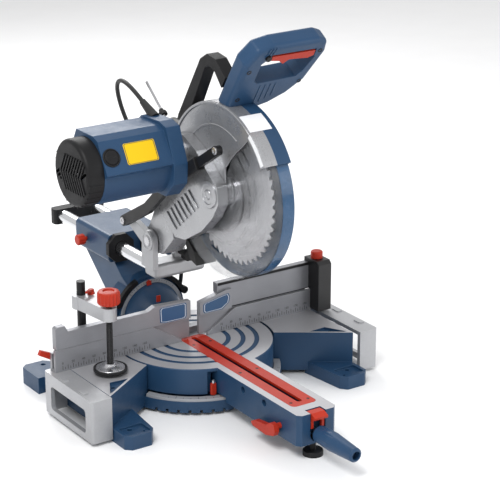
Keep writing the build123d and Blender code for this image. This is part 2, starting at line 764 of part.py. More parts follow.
with BuildPart() as gear_case:
    with BuildSketch(side_plane(CASE_X0)):
        with BuildLine():
            Polyline(
                (-150, 376), (-146, 404), (-118, 424), (-84, 452), (-44, 470), (-2, 462), (18, 420),
                (30, 350), (14, 306), (-14, 282), (-46, 286), (-98, 316), (-132, 348), close=True,
            )
        make_face()
    extrude(amount=CASE_X1 - CASE_X0)
    fillet(gear_case.edges().filter_by(Axis.X), 8)
    # arm down to the chop hinge
    with BuildSketch(side_plane(-BARREL_HALF)):
        with BuildLine():
            Polyline((-2, 300), (10, 340), (38, 340), (81, 262), (60, 236), (30, 237), (-8, 276), close=True)
        make_face()
        with Locations(HINGE):
            Circle(BARREL_R)
    extrude(amount=2 * BARREL_HALF)
    with BuildSketch(side_plane(CASE_X1)):
        with Locations(BLADE):
            Circle(GUARD_R + 1)
    extrude(amount=2 * BARREL_HALF, mode=Mode.SUBTRACT)
    # relief over the depth stop
    with BuildSketch(side_plane(-6)):
        with Locations(HINGE):
            Circle(66)
            Circle(BARREL_R - 0.2, mode=Mode.SUBTRACT)
    extrude(amount=30, mode=Mode.SUBTRACT)
    # bearing boss the lower guard turns on
    with BuildSketch(blade_plane(CASE_X1)):
        Circle(24)
    extrude(amount=14)
    with BuildSketch(blade_plane(-42)):
        Circle(8 + FIT)
    extrude(amount=40, mode=Mode.SUBTRACT)
    with BuildSketch(side_plane(-60)):
        with Locations(HINGE):
            Circle(PIN_R + FIT)
    extrude(amount=120, mode=Mode.SUBTRACT)
save(gear_case, "gear_case")

for side, s in (("left", -1), ("right", 1)):
    with BuildPart() as guard:
        with BuildSketch(blade_plane(s * (GUARD_HALF - 2.5))):
            Circle(GUARD_R)
            full_sector(30, 200, GUARD_R)
            Circle(26 if s < 0 else 20, mode=Mode.SUBTRACT)
            if s < 0:
                # the front of this side is a window onto the inner guard
                Polygon(
                    (-18, 46), (-46, 76), (-84, 108), (-118, 76), (-136, 30), (-141, -12), (-160, -70), (-20, -20),
                    align=None, mode=Mode.SUBTRACT,
                )
        extrude(amount=s * 2.5)
        with BuildSketch(blade_plane(0)):
            Circle(GUARD_R)
            full_sector(30, 200, GUARD_R)
            Circle(GUARD_R - 2.5, mode=Mode.SUBTRACT)
        extrude(amount=s * (GUARD_HALF - 2.5))
    save(guard, f"upper_guard_{side}")


def motor_plane(x):
    return side_plane(x, MOTOR)


def gland_cone(mode=Mode.ADD):
    lean = 90 - degrees(atan2(0.431, 0.902))
    with Locations(Location((-84, -18, 499), (-lean, 0, 0))):
        Cone(9, 5.5, 44, align=(Align.CENTER, Align.CENTER, Align.MIN), mode=mode)


with BuildPart() as motor_housing:
    with BuildSketch(motor_plane(CAP_X1)):
        Circle(MOTOR_R - 1)
        with BuildLine():
            Polyline((-66, 6), (-36, 56), (-20, 62), (34, 62), (46, 40), (0, 0), (-50, -6), close=True)
        make_face()
    extrude(amount=MOTOR_X1 - CAP_X1)
    with BuildSketch(motor_plane(MOTOR_X1)):
        with BuildLine():
            Polyline(
                (-68, 4), (-44, 62), (-22, 68), (34, 66), (60, 44), (62, -20), (36, -56),
                (-40, -56), (-66, -30), close=True,
            )
        make_face()
    extrude(amount=-26)
    fillet(motor_housing.edges().filter_by(Axis.X).filter_by(lambda e: 25 < e.length < 27), 4)
    with BuildSketch(motor_plane(CAP_X1)):
        Circle(MOTOR_R - 9)
    extrude(amount=MOTOR_X1 - CAP_X1 - 9, mode=Mode.SUBTRACT)
    with BuildSketch(motor_plane(CAP_X1)):
        Circle(14)
    extrude(amount=160, mode=Mode.SUBTRACT)
    gland_cone(Mode.SUBTRACT)
save(motor_housing, "motor_housing")

with BuildPart() as motor_cap:
    with BuildSketch(motor_plane(MOTOR_X0)):
        Circle(MOTOR_R - 2)
    extrude(amount=CAP_X1 - MOTOR_X0)
    fillet(motor_cap.edges().group_by(Axis.X)[0], 7)
    with BuildSketch(motor_plane(CAP_X1)):
        Circle(MOTOR_R - 9)
    extrude(amount=-(CAP_X1 - MOTOR_X0 - 7), mode=Mode.SUBTRACT)
    # slanted vent slots round the end
    with BuildSketch(motor_plane(MOTOR_X0)):
        for k in range(-3, 4):
            with Locations(Location((k * 11.5, 0, 0), (0, 0, -35))):
                SlotOverall(70 - abs(k) * 10, 5)
    extrude(amount=10, mode=Mode.SUBTRACT)
save(motor_cap, "motor_end_cap")

with BuildPart() as motor_neck:
    with BuildSketch(motor_plane(MOTOR_X1)):
        Circle(28)
        Circle(14, mode=Mode.SUBTRACT)
    extrude(amount=CASE_X0 - MOTOR_X1)
save(motor_neck, "motor_neck")

with BuildPart() as armature:
    with BuildSketch(motor_plane(-243)):
        Circle(6)
    extrude(amount=243 - 48)
    with BuildSketch(motor_plane(-196)):
        Circle(34)
    extrude(amount=84)
save(armature, "armature")

with BuildPart() as cord_gland:
    gland_cone()
save(cord_gland, "cord_gland")

with BuildPart() as dust_chute:
    with BuildSketch(side_plane(-20)):
        with BuildLine():
            Polyline((-33, 254), (-10, 274), (-5, 262), (-20, 238), (-40, 232), close=True)
        make_face()
    extrude(amount=40)
    with BuildSketch(side_plane(-21)):
        with Locations(BLADE):
            Circle(GUARD_R + 1)
    extrude(amount=42, mode=Mode.SUBTRACT)
save(dust_chute, "dust_chute")

with BuildPart() as dust_port:
    with BuildSketch(front_plane(10, 4, 446)):
        Circle(19)
        Circle(13.5, mode=Mode.SUBTRACT)
    extrude(amount=-62)
    with BuildSketch(front_plane(32, 4, 446)):
        Circle(16)
    extrude(amount=-40, mode=Mode.SUBTRACT)
    with BuildSketch(side_plane(-GUARD_HALF)):
        with Locations(BLADE):
            Circle(GUARD_R)
    extrude(amount=2 * GUARD_HALF, mode=Mode.SUBTRACT)
save(dust_port, "dust_port")

# D handle, leaning forward, standing on the guard and reaching out to the right
lean_up = (0, -sin(radians(GRIP_LEAN)), cos(radians(GRIP_LEAN)))
grip_out = (0, -cos(radians(GRIP_LEAN)), -sin(radians(GRIP_LEAN)))


def grip_plane(offset_out=0.0, x=0.0, up=0.0):
    origin = (
        x,
        GRIP_FOOT[0] + up * lean_up[1] + offset_out * grip_out[1],
        GRIP_FOOT[1] + up * lean_up[2] + offset_out * grip_out[2],
    )
    return Plane(origin, x_dir=(1, 0, 0), z_dir=grip_out)


with BuildPart() as handle_shell:
    with BuildSketch(grip_plane(-GRIP_T / 2)):
        with BuildLine():
            Polyline(
                (-24, -24), (-24, 84), (-8, 114), (20, 121), (108, 122), (126, 114), (130, 92),
                (112, 30), (86, 2), (56, -16), (20, -26), close=True,
            )
        make_face()
        fillet(vertices(), 9)
        with BuildLine():
            Polyline((6, 46), (6, 84), (12, 90), (104, 90), (110, 84), (98, 54), (88, 43), (14, 40), close=True)
        make_face(mode=Mode.SUBTRACT)
    extrude(amount=GRIP_T)
    outer_edges = handle_shell.edges().filter_by(lambda e: e.length > 60).filter_by(
        lambda e: abs(e.tangent_at(0).X) > 0.95 and e.center().Z > 630
    )
    fillet(outer_edges, 9)
    with BuildSketch(blade_plane(-30)):
        Circle(GUARD_R)
    extrude(amount=30 + GUARD_HALF, mode=Mode.SUBTRACT)
    # trigger pocket under the grip, button pocket in its front
    with BuildSketch(grip_plane(-7.3)):
        with Locations((64, 91.2)):
            Rectangle(87, 22.6)
    extrude(amount=30, mode=Mode.SUBTRACT)
    with BuildSketch(grip_plane(9, 14, 98)):
        Circle(5 + FIT)
    extrude(amount=12, mode=Mode.SUBTRACT)
save(handle_shell, "handle_shell")

with BuildPart() as trigger:
    with BuildSketch(grip_plane(-7)):
        with BuildLine():
            Polyline(
                (22.5, 99), (105.5, 99), (106, 88), (96, 83.5), (72, 86), (58, 87), (49, 78.5), (39, 87), (23, 90),
                close=True,
            )
        make_face()
    extrude(amount=24.2)
save(trigger, "trigger")

with BuildPart() as lock_button:
    with BuildSketch(grip_plane(13, 14, 98)):
        Circle(5)
    extrude(amount=8)
save(lock_button, "lock_off_button")

with BuildPart() as carry_handle:
    back = GRIP_T / 2
    ends = [
        (GRIP_FOOT[0] + u * lean_up[1] - back * grip_out[1], GRIP_FOOT[1] + u * lean_up[2] - back * grip_out[2])
        for u in (26, 4)
    ]
    with BuildSketch(side_plane(-23)):
        with BuildLine():
            Polyline(
                (12, 480), (8, 490), (-62, 600), (-82, 612), (-108, 608), ends[0], ends[1],
                (-104, 588), (-86, 594), (-76, 588), (-16, 480), close=True,
            )
        make_face()
    extrude(amount=22)
    with BuildSketch(blade_plane(-24)):
        Circle(GUARD_R)
    extrude(amount=30, mode=Mode.SUBTRACT)
save(carry_handle, "carry_handle")

# ================================================================ BLADE
with BuildPart() as saw_blade:
    with BuildSketch(blade_plane(-BLADE_T / 2)):
        Circle(BLADE_R - 7)
        for k in range(48):
            a = 2 * pi * k / 48
            b = a + 2 * pi / 48
            with BuildLine():
                Polyline(
                    ((BLADE_R - 8) * cos(a), (BLADE_R - 8) * sin(a)),
                    (BLADE_R * cos(a + 0.01), BLADE_R * sin(a + 0.01)),
                    ((BLADE_R - 1) * cos(a + 0.05), (BLADE_R - 1) * sin(a + 0.05)),
                    ((BLADE_R - 8) * cos(b - 0.02), (BLADE_R - 8) * sin(b - 0.02)),
                    close=True,
                )
            make_face()
        Circle(BORE_R, mode=Mode.SUBTRACT)
    extrude(amount=BLADE_T)
save(saw_blade, "saw_blade")

with BuildPart() as blade_flanges:
    with BuildSketch(blade_plane(-8)):
        Circle(22)
    extrude(amount=8 - BLADE_T / 2)
    with BuildSketch(blade_plane(-BLADE_T / 2)):
        Circle(BORE_R)
    extrude(amount=BLADE_T)
    with BuildSketch(blade_plane(BLADE_T / 2)):
        Circle(22)
    extrude(amount=6)
    with BuildSketch(blade_plane(-9)):
        Circle(8)
    extrude(amount=20, mode=Mode.SUBTRACT)
save(blade_flanges, "blade_flanges")

with BuildPart() as arbor:
    with BuildSketch(blade_plane(-40)):
        Circle(8)
    extrude(amount=40 + BLADE_T / 2 + 6)
    with BuildSketch(blade_plane(BLADE_T / 2 + 6)):
        RegularPolygon(10, 6)
    extrude(amount=8)
save(arbor, "arbor_shaft")

# ================================================================ LOWER GUARD
for side, s in (("left", -1), ("right", 1)):
    with BuildPart() as lower:
        with BuildSketch(blade_plane(s * (LOWER_HALF - SKIN))):
            Circle(LOWER_R)
            full_sector(-150, 62, LOWER_R)
            Circle(32)
            Circle(24 + FIT if s < 0 else 27, mode=Mode.SUBTRACT)
        extrude(amount=s * SKIN)
        with BuildSketch(blade_plane(0)):
            Circle(LOWER_R)
            full_sector(-150, 62, LOWER_R)
            Circle(LOWER_R - SKIN, mode=Mode.SUBTRACT)
        extrude(amount=s * (LOWER_HALF - SKIN))
        if s < 0:
            with BuildSketch(blade_plane(-LOWER_HALF + SKIN)):
                Circle(32)
                Circle(24 + FIT, mode=Mode.SUBTRACT)
            extrude(amount=5)
            # dust vents following the rim
            with BuildSketch(blade_plane(-LOWER_HALF - 1)):
                for r in (66, 86, 106):
                    for mid in (48, 22, -8, -38, -68, -98, -128):
                        if mid == 48 and r < 80:
                            continue
                        half = degrees(26 / r) / 1.5
                        pts = []
                        for q in range(5):
                            t = radians(mid - half + q * half / 2)
                            pts.append((-(r - 2.5) * cos(t), (r - 2.5) * sin(t)))
                        for q in range(5):
                            t = radians(mid + half - q * half / 2)
                            pts.append((-(r + 2.5) * cos(t), (r + 2.5) * sin(t)))
                        Polygon(*pts, align=None)
            extrude(amount=SKIN + 1.5, mode=Mode.SUBTRACT)
    save(lower, f"lower_guard_{side}")

# ================================================================ GUARD LINK
with BuildPart() as link:
    route = [LINK_PIVOT, (42, 322), (-31, 387), (-177, 479)]
    with BuildSketch(side_plane(LINK_X0)):
        for (y0, z0), (y1, z1), w in zip(route, route[1:], (19, 19, 16)):
            run = hypot(y1 - y0, z1 - z0)
            with Locations(Location(((y0 + y1) / 2, (z0 + z1) / 2, 0), (0, 0, degrees(atan2(z1 - z0, y1 - y0))))):
                SlotOverall(run + w, w)
        with Locations(Location((-31, 387, 0), (0, 0, degrees(atan2(92, -146))))):
            Rectangle(26, 24)
        with Locations(LINK_PIVOT):
            Circle(5 + FIT, mode=Mode.SUBTRACT)
    extrude(amount=LINK_X1 - LINK_X0)
save(link, "guard_link")

# ================================================================ SLIDING FENCES
with BuildPart() as left_fence:
    with BuildSketch(front_plane(0)):
        with BuildLine():
            Polyline(
                (-274, 120.5), (-274, 158), (-270, 161), (-256, 161), (-250, 150), (-94, 150),
                (-80, 157), (-8, 153), (-8, 120.5), close=True,
            )
        make_face()
    extrude(amount=-11.2)
    with BuildSketch(front_plane(5.3)):
        with BuildLine():
            Polyline((-264, 120.5), (-264, 84.5), (-8, 84.5), (-8, 120.5), close=True)
        make_face()
    extrude(amount=-5.9)
save(left_fence, "left_upper_fence")

with BuildPart() as fence_lever:
    with BuildSketch(front_plane(18.3)):
        with Locations((-262, 100)):
            Circle(7)
        with BuildLine():
            Polyline((-266, 106), (-292, 118), (-296, 110), (-268, 94), close=True)
        make_face()
    extrude(amount=-7)
save(fence_lever, "left_fence_lever")

with BuildPart() as right_fence:
    with BuildSketch(front_plane(0)):
        with BuildLine():
            Polyline((12, 120.5), (12, 144), (66, 157), (78, 157), (78, 120.5), close=True)
        make_face()
    extrude(amount=-11.2)
    with BuildSketch(front_plane(5.3)):
        with BuildLine():
            Polyline((12, 120.5), (12, 84.5), (240, 84.5), (240, 120.5), close=True)
        make_face()
    extrude(amount=-5.9)
    with BuildSketch(Plane.XY.offset(120.5)):
        with Locations((150, 12.1)):
            Rectangle(198, 13.6)
    extrude(amount=RAIL_TOP - 120.5)
    with BuildSketch(side_plane(50)):
        with Locations((19.2, 146)):
            Rectangle(4, 12)
    extrude(amount=200, mode=Mode.SUBTRACT)
    # end post straddling the fixed fence
    with BuildSketch(side_plane(248)):
        with BuildLine():
            Polyline((-26, 84), (-26, 172), (-20, 178), (18.9, 178), (18.9, 120.5), (-0.6, 120.5), (-0.6, 84), close=True)
        make_face()
    extrude(amount=28)
    with BuildSketch(Plane.XY.offset(150)):
        with Locations((262, 0)):
            Circle(4 + FIT)
    extrude(amount=30, mode=Mode.SUBTRACT)
save(right_fence, "right_upper_fence")

with BuildPart() as right_knob:
    with BuildSketch(Plane.XY.offset(152)):
        with Locations((262, 0)):
            Circle(4)
    extrude(amount=28)
    with BuildSketch(Plane.XY.offset(178.4)):
        with Locations((262, 0)):
            Circle(11)
    extrude(amount=13)
    fillet(right_knob.edges().group_by(Axis.Z)[-1], 3)
save(right_knob, "right_fence_knob")

# ================================================================ WORK CLAMP
with BuildPart() as clamp_post:
    with BuildSketch(Plane.XY.offset(36.2)):
        with Locations((-CLAMP_X, CLAMP_Y)):
            Circle(CLAMP_R)
    extrude(amount=222 - 36.2)
save(clamp_post, "clamp_post")

with BuildPart() as clamp_arm:
    reach = hypot(SCREW_X + CLAMP_X, SCREW_Y - CLAMP_Y)
    swing = degrees(atan2(SCREW_Y - CLAMP_Y, SCREW_X + CLAMP_X))
    with BuildSketch(Plane.XY.offset(175)):
        with Locations(Location(((SCREW_X - CLAMP_X) / 2, (SCREW_Y + CLAMP_Y) / 2, 0), (0, 0, swing))):
            SlotOverall(reach + 26, 26)
        with Locations((-CLAMP_X, CLAMP_Y)):
            Circle(16)
        with Locations((-CLAMP_X, CLAMP_Y)):
            Circle(CLAMP_R, mode=Mode.SUBTRACT)
        with Locations((SCREW_X, SCREW_Y)):
            Circle(5.5 + FIT, mode=Mode.SUBTRACT)
    extrude(amount=23)
save(clamp_arm, "clamp_arm")

with BuildPart() as clamp_screw:
    with BuildSketch(Plane.XY.offset(88.5)):
        with Locations((SCREW_X, SCREW_Y)):
            Circle(5.5)
    extrude(amount=120)
    with BuildSketch(Plane.XY.offset(203)):
        with Locations((SCREW_X, SCREW_Y)):
            Circle(19.5)
            with PolarLocations(21, 8):
                Circle(3.5, mode=Mode.SUBTRACT)
    extrude(amount=24)
save(clamp_screw, "clamp_screw")

with BuildPart() as clamp_pad:
    with BuildSketch(Plane.XY.offset(84)):
        with Locations((SCREW_X, SCREW_Y)):
            Circle(29)
    extrude(amount=6)
    with BuildSketch(Plane.XY.offset(90)):
        with Locations((SCREW_X, SCREW_Y)):
            Circle(11)
    extrude(amount=8)
    with BuildSketch(Plane.XY.offset(88)):
        with Locations((SCREW_X, SCREW_Y)):
            Circle(5.5 + FIT)
    extrude(amount=12, mode=Mode.SUBTRACT)
save(clamp_pad, "clamp_pad")

# ================================================================ CORD
coil_turns = 3
coil_pitch = CORD_D + 0.3
coil_z = CORD_D / 2 + 0.4
coil_side = COIL_C[0] + COIL_R
coil_top = coil_z + coil_turns * coil_pitch
coil_slope = coil_pitch / (2 * pi * COIL_R)
gland_end = (-84, -18 + 44.2 * 0.902, 499 + 44.2 * 0.431)
route = [
    gland_end, (-84, gland_end[1] + 58 * 0.902, gland_end[2] + 58 * 0.431), (-68, 140, 525), (-40, 168, 460),
    (0, 178, 385), (64, 176, 290), (84, 176, 180), (88, 186, 95),
    (coil_side, COIL_C[1] - 48, coil_top + 48 * coil_slope), (coil_side, COIL_C[1], coil_top),
]
tail_route = [
    (coil_side, COIL_C[1], coil_z), (coil_side, COIL_C[1] + 32, coil_z), (coil_side + 17, COIL_C[1] + 60, 8),
    (coil_side + 45, COIL_C[1] + 76, 17.5),
]


def bend_radii(points):
    radii = []
    for a, b, c in zip(points, points[1:], points[2:]):
        u, v = Vector(*b) - Vector(*a), Vector(*c) - Vector(*b)
        radii.append(0.45 * min(u.length, v.length) / tan(radians(u.get_angle(v) / 2)))
    return radii


cord_runs = []
with BuildPart() as power_cord:
    for points in (route, tail_route):
        print("bend radii, mm:", [round(r) for r in bend_radii(points)])
        with BuildLine() as cord_line:
            FilletPolyline(*points, radius=bend_radii(points))
        cord_run = cord_line.wire()
        cord_runs.append(cord_run)
        with BuildSketch(Plane(cord_run @ 0, z_dir=cord_run % 0)):
            Circle(CORD_D / 2)
        sweep(path=cord_run)
save(power_cord, "power_cord")

# the wound length, one ring of its outer shape
with BuildPart() as cord_coil:
    with BuildSketch(Plane.XZ):
        with Locations((COIL_R, coil_z - CORD_D / 2 + (coil_turns * coil_pitch + CORD_D) / 2)):
            RectangleRounded(CORD_D, coil_turns * coil_pitch + CORD_D, 2.5)
    revolve(axis=Axis.Z, revolution_arc=360)
cord_coil.part = cord_coil.part.moved(Location((COIL_C[0], COIL_C[1], 0)))
save(cord_coil, "cord_coil")

# plug: tapered neck, round body, two pins
plug_dir = Vector(0.868, 0.496, 0)
plug_neck = Vector(*tail_route[-1]) + 0.9 * plug_dir
with BuildPart() as plug:
    for along, r in ((0, 8), (20, 17)):
        with BuildSketch(Plane(plug_neck + along * plug_dir, x_dir=(-0.496, 0.868, 0), z_dir=plug_dir)):
            Circle(r)
    loft()
    with BuildSketch(Plane(plug_neck + 20 * plug_dir, x_dir=(-0.496, 0.868, 0), z_dir=plug_dir)):
        Circle(17)
    extrude(amount=24)
    with BuildSketch(Plane(plug_neck + 44 * plug_dir, x_dir=(-0.496, 0.868, 0), z_dir=plug_dir)):
        with Locations((-9.5, 0), (9.5, 0)):
            Circle(2.4)
    extrude(amount=19)
save(plug, "plug")

hanging = sum(run.length for run in cord_runs)
wound = coil_turns * hypot(2 * pi * COIL_R, coil_pitch)
print("cord, mm: tubes", round(hanging), "wound", round(wound), "all", round(hanging + wound))
section = pi * (CORD_D / 2) ** 2
print("tube volume over section x length:", round(power_cord.part.volume / (section * hanging), 3),
      round(cord_coil.part.volume / (section * wound), 3))
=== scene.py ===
"""Sliding compound mitre saw: materials, printed marks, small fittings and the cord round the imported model."""
from math import cos, hypot, pi, radians, sin

import bmesh
import bpy
from mathutils import Matrix, Vector


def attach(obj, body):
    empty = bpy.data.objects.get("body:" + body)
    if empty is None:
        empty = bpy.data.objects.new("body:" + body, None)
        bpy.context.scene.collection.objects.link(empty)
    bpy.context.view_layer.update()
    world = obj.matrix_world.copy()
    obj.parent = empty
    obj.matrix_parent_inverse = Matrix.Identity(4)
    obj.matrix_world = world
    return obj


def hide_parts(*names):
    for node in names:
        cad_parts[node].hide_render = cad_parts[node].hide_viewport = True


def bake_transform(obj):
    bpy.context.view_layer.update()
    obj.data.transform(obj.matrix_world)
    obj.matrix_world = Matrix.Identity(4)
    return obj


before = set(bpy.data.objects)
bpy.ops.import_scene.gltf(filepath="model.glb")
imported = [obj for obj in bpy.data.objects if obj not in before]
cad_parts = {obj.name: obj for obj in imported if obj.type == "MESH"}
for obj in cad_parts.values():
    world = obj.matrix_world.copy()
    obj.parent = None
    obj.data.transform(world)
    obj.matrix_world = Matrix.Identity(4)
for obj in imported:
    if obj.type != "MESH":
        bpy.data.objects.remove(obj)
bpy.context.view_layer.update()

MM = 0.001

# Places from the model, in millimetres: X to the right, Y to the rear, Z up from the floor, the origin under
# the middle of the round table.
BLADE_CENTRE = (0, -121, 387)
MOTOR_Y, MOTOR_Z = -33, 436
TABLE_TOP = 80
CASE_FACE = -46.5          # X of the gear case's left face
GUARD_FACE = -26.1         # X of the upper guard's left face
LINK_FACE = -69.5          # X of the guard link's left face
POST_START = 247.6         # X from which the right fence is its black end post


def vec(*p):
    """A point given in millimetres, in metres."""
    return Vector(p) * MM


# ---------------------------------------------------------------- camera
CAMERA_PLACE = (-1.6389, -2.6166, 1.3541)
LOOK_DOWN, LOOK_ROUND = 19.53, -33.86
cam_data = bpy.data.cameras.new("camera")
cam_data.lens, cam_data.sensor_width = 136.8, 36
cam_data.clip_start, cam_data.clip_end = 0.05, 60
camera = bpy.data.objects.new("camera", cam_data)
camera.location = CAMERA_PLACE
camera.rotation_euler = (radians(90 - LOOK_DOWN), 0, radians(LOOK_ROUND))
bpy.context.scene.collection.objects.link(camera)
bpy.context.scene.camera = camera
bpy.context.scene.view_settings.view_transform = "Standard"


# ---------------------------------------------------------------- materials
class Nodes:
    """A material's node tree, built line by line."""

    def __init__(self, name):
        self.mat = bpy.data.materials.new(name)
        self.mat.use_nodes = True
        self.tree = self.mat.node_tree
        self.tree.nodes.clear()
        self.out = self.add("ShaderNodeOutputMaterial")
        self.shader = self.add("ShaderNodeBsdfPrincipled")
        self.link(self.shader.outputs[0], self.out.inputs[0])
        self.coord = self.add("ShaderNodeTexCoord")

    def add(self, kind, **values):
        node = self.tree.nodes.new(kind)
        for k, v in values.items():
            setattr(node, k, v)
        return node

    def link(self, a, b):
        self.tree.links.new(a, b)

    def math(self, op, a, b=0.0, c=None):
        node = self.add("ShaderNodeMath", operation=op)
        for i, v in enumerate((a, b) if c is None else (a, b, c)):
            if isinstance(v, (int, float)):
                node.inputs[i].default_value = v
            else:
                self.link(v, node.inputs[i])
        return node.outputs[0]

    def noise(self, scale, detail=3.0, stretch=None, rough=0.55):
        node = self.add("ShaderNodeTexNoise")
        node.inputs["Scale"].default_value = scale
        node.inputs["Detail"].default_value = detail
        node.inputs["Roughness"].default_value = rough
        source = self.coord.outputs["Object"]
        if stretch:
            mapping = self.add("ShaderNodeMapping")
            mapping.inputs["Scale"].default_value = stretch
            self.link(source, mapping.inputs["Vector"])
            source = mapping.outputs[0]
        self.link(source, node.inputs["Vector"])
        return node.outputs["Fac"]

    def ramp(self, fac, stops):
        node = self.add("ShaderNodeValToRGB")
        ramp = node.color_ramp
        while len(ramp.elements) < len(stops):
            ramp.elements.new(0.5)
        for element, (place, colour) in zip(ramp.elements, stops):
            element.position, element.color = place, (*colour, 1)
        self.link(fac, node.inputs[0])
        return node.outputs[0]

    def mix(self, fac, a, b):
        node = self.add("ShaderNodeMix", data_type="RGBA")
        for v, socket in ((fac, node.inputs[0]), (a, node.inputs[6]), (b, node.inputs[7])):
            if isinstance(v, (int, float)):
                socket.default_value = v
            elif isinstance(v, tuple):
                socket.default_value = (*v, 1)
            else:
                self.link(v, socket)
        return node.outputs[2]

    def span(self, fac, low, high, start=0.3, stop=0.7):
        node = self.add("ShaderNodeMapRange")
        for i, v in enumerate((start, stop, low, high)):
            node.inputs[i + 1].default_value = v
        self.link(fac, node.inputs[0])
        return node.outputs[0]


def shade(colour, k):
    return tuple(min(1.0, c * k) for c in colour)


def material(name, colour, rough, metal=0.0, vary=0.10, grain=700, bump=0.15, edge=0.0, edge_wear_and_highlight_colour=None,
             radius=0.7, stretch=None, top=None, beyond=None, **sockets):
    """A surface with slow colour variation, fine grain in roughness and relief, softened edges and lighter edges
    (edge wear and painted highlight).
    top gives the colour and height of machined faces that look up at that height, beyond a second colour and
    the X from which it starts."""
    n = Nodes(name)
    slow = n.noise(9, 4)
    grit = n.noise(grain, 3, stretch)
    smear = n.noise(38, 5, rough=0.7)
    base = n.ramp(slow, [(0.3, shade(colour, 1 - vary)), (0.7, shade(colour, 1 + vary))])
    base = n.mix(n.span(grit, 0, 0.5 * vary + 0.03, 0.45, 0.75), base, shade(colour, 0.55))
    roughness = n.math("ADD", n.span(grit, rough - 0.05, rough + 0.05), n.span(smear, -0.06, 0.07))
    bevel = n.add("ShaderNodeBevel", samples=4)
    bevel.inputs["Radius"].default_value = radius * MM
    relief = n.add("ShaderNodeBump")
    relief.inputs["Strength"].default_value = bump
    relief.inputs["Distance"].default_value = 0.0004
    n.link(grit, relief.inputs["Height"])
    n.link(bevel.outputs[0], relief.inputs["Normal"])
    # Edges get a lighter colour where the bevelled normal turns away from the true normal: partly edge wear,
    # partly a painted highlight where rounded edges would catch light.
    if edge:
        geometry = n.add("ShaderNodeNewGeometry")
        dot = n.add("ShaderNodeVectorMath", operation="DOT_PRODUCT")
        n.link(bevel.outputs[0], dot.inputs[0])
        n.link(geometry.outputs["True Normal"], dot.inputs[1])
        worn_and_highlit_edge = n.span(dot.outputs["Value"], edge, 0.0, 0.80, 0.985)
        worn_and_highlit_edge = n.math("MULTIPLY", worn_and_highlit_edge, n.span(smear, 0.25, 1.0, 0.35, 0.6))
        base = n.mix(worn_and_highlit_edge, base, edge_wear_and_highlight_colour or shade(colour, 1.9))
    if top:
        top_colour, height = top
        split = n.add("ShaderNodeSeparateXYZ")
        n.link(n.coord.outputs["Object"], split.inputs[0])
        up = n.add("ShaderNodeSeparateXYZ")
        n.link(n.coord.outputs["Normal"], up.inputs[0])
        face = n.math("MULTIPLY", n.math("GREATER_THAN", up.outputs[2], 0.8),
                      n.math("COMPARE", split.outputs[2], height * MM, 0.5 * MM))
        brushed = n.noise(60, 4, (1, 26, 1), 0.7)
        metal_colour = n.ramp(brushed, [(0.25, shade(top_colour, 0.9)), (0.75, shade(top_colour, 1.08))])
        base = n.mix(face, base, metal_colour)
        roughness = n.math("ADD", n.math("MULTIPLY", roughness, n.math("SUBTRACT", 1.0, face)),
                           n.math("MULTIPLY", face, n.span(brushed, 0.40, 0.52)))
        n.link(n.math("MULTIPLY", face, 0.55), n.shader.inputs["Metallic"])
    elif beyond:
        side_colour, limit = beyond
        split = n.add("ShaderNodeSeparateXYZ")
        n.link(n.coord.outputs["Object"], split.inputs[0])
        past = n.math("GREATER_THAN", split.outputs[0], limit * MM)
        base = n.mix(past, base, n.ramp(slow, [(0.3, shade(side_colour, 0.8)), (0.7, shade(side_colour, 1.2))]))
        n.link(n.math("MULTIPLY", n.math("SUBTRACT", 1.0, past), metal), n.shader.inputs["Metallic"])
    else:
        n.shader.inputs["Metallic"].default_value = metal
    n.link(base, n.shader.inputs["Base Color"])
    n.link(roughness, n.shader.inputs["Roughness"])
    n.link(relief.outputs[0], n.shader.inputs["Normal"])
    for socket, value in sockets.items():
        n.shader.inputs[socket.replace("_", " ")].default_value = value
    return n.mat


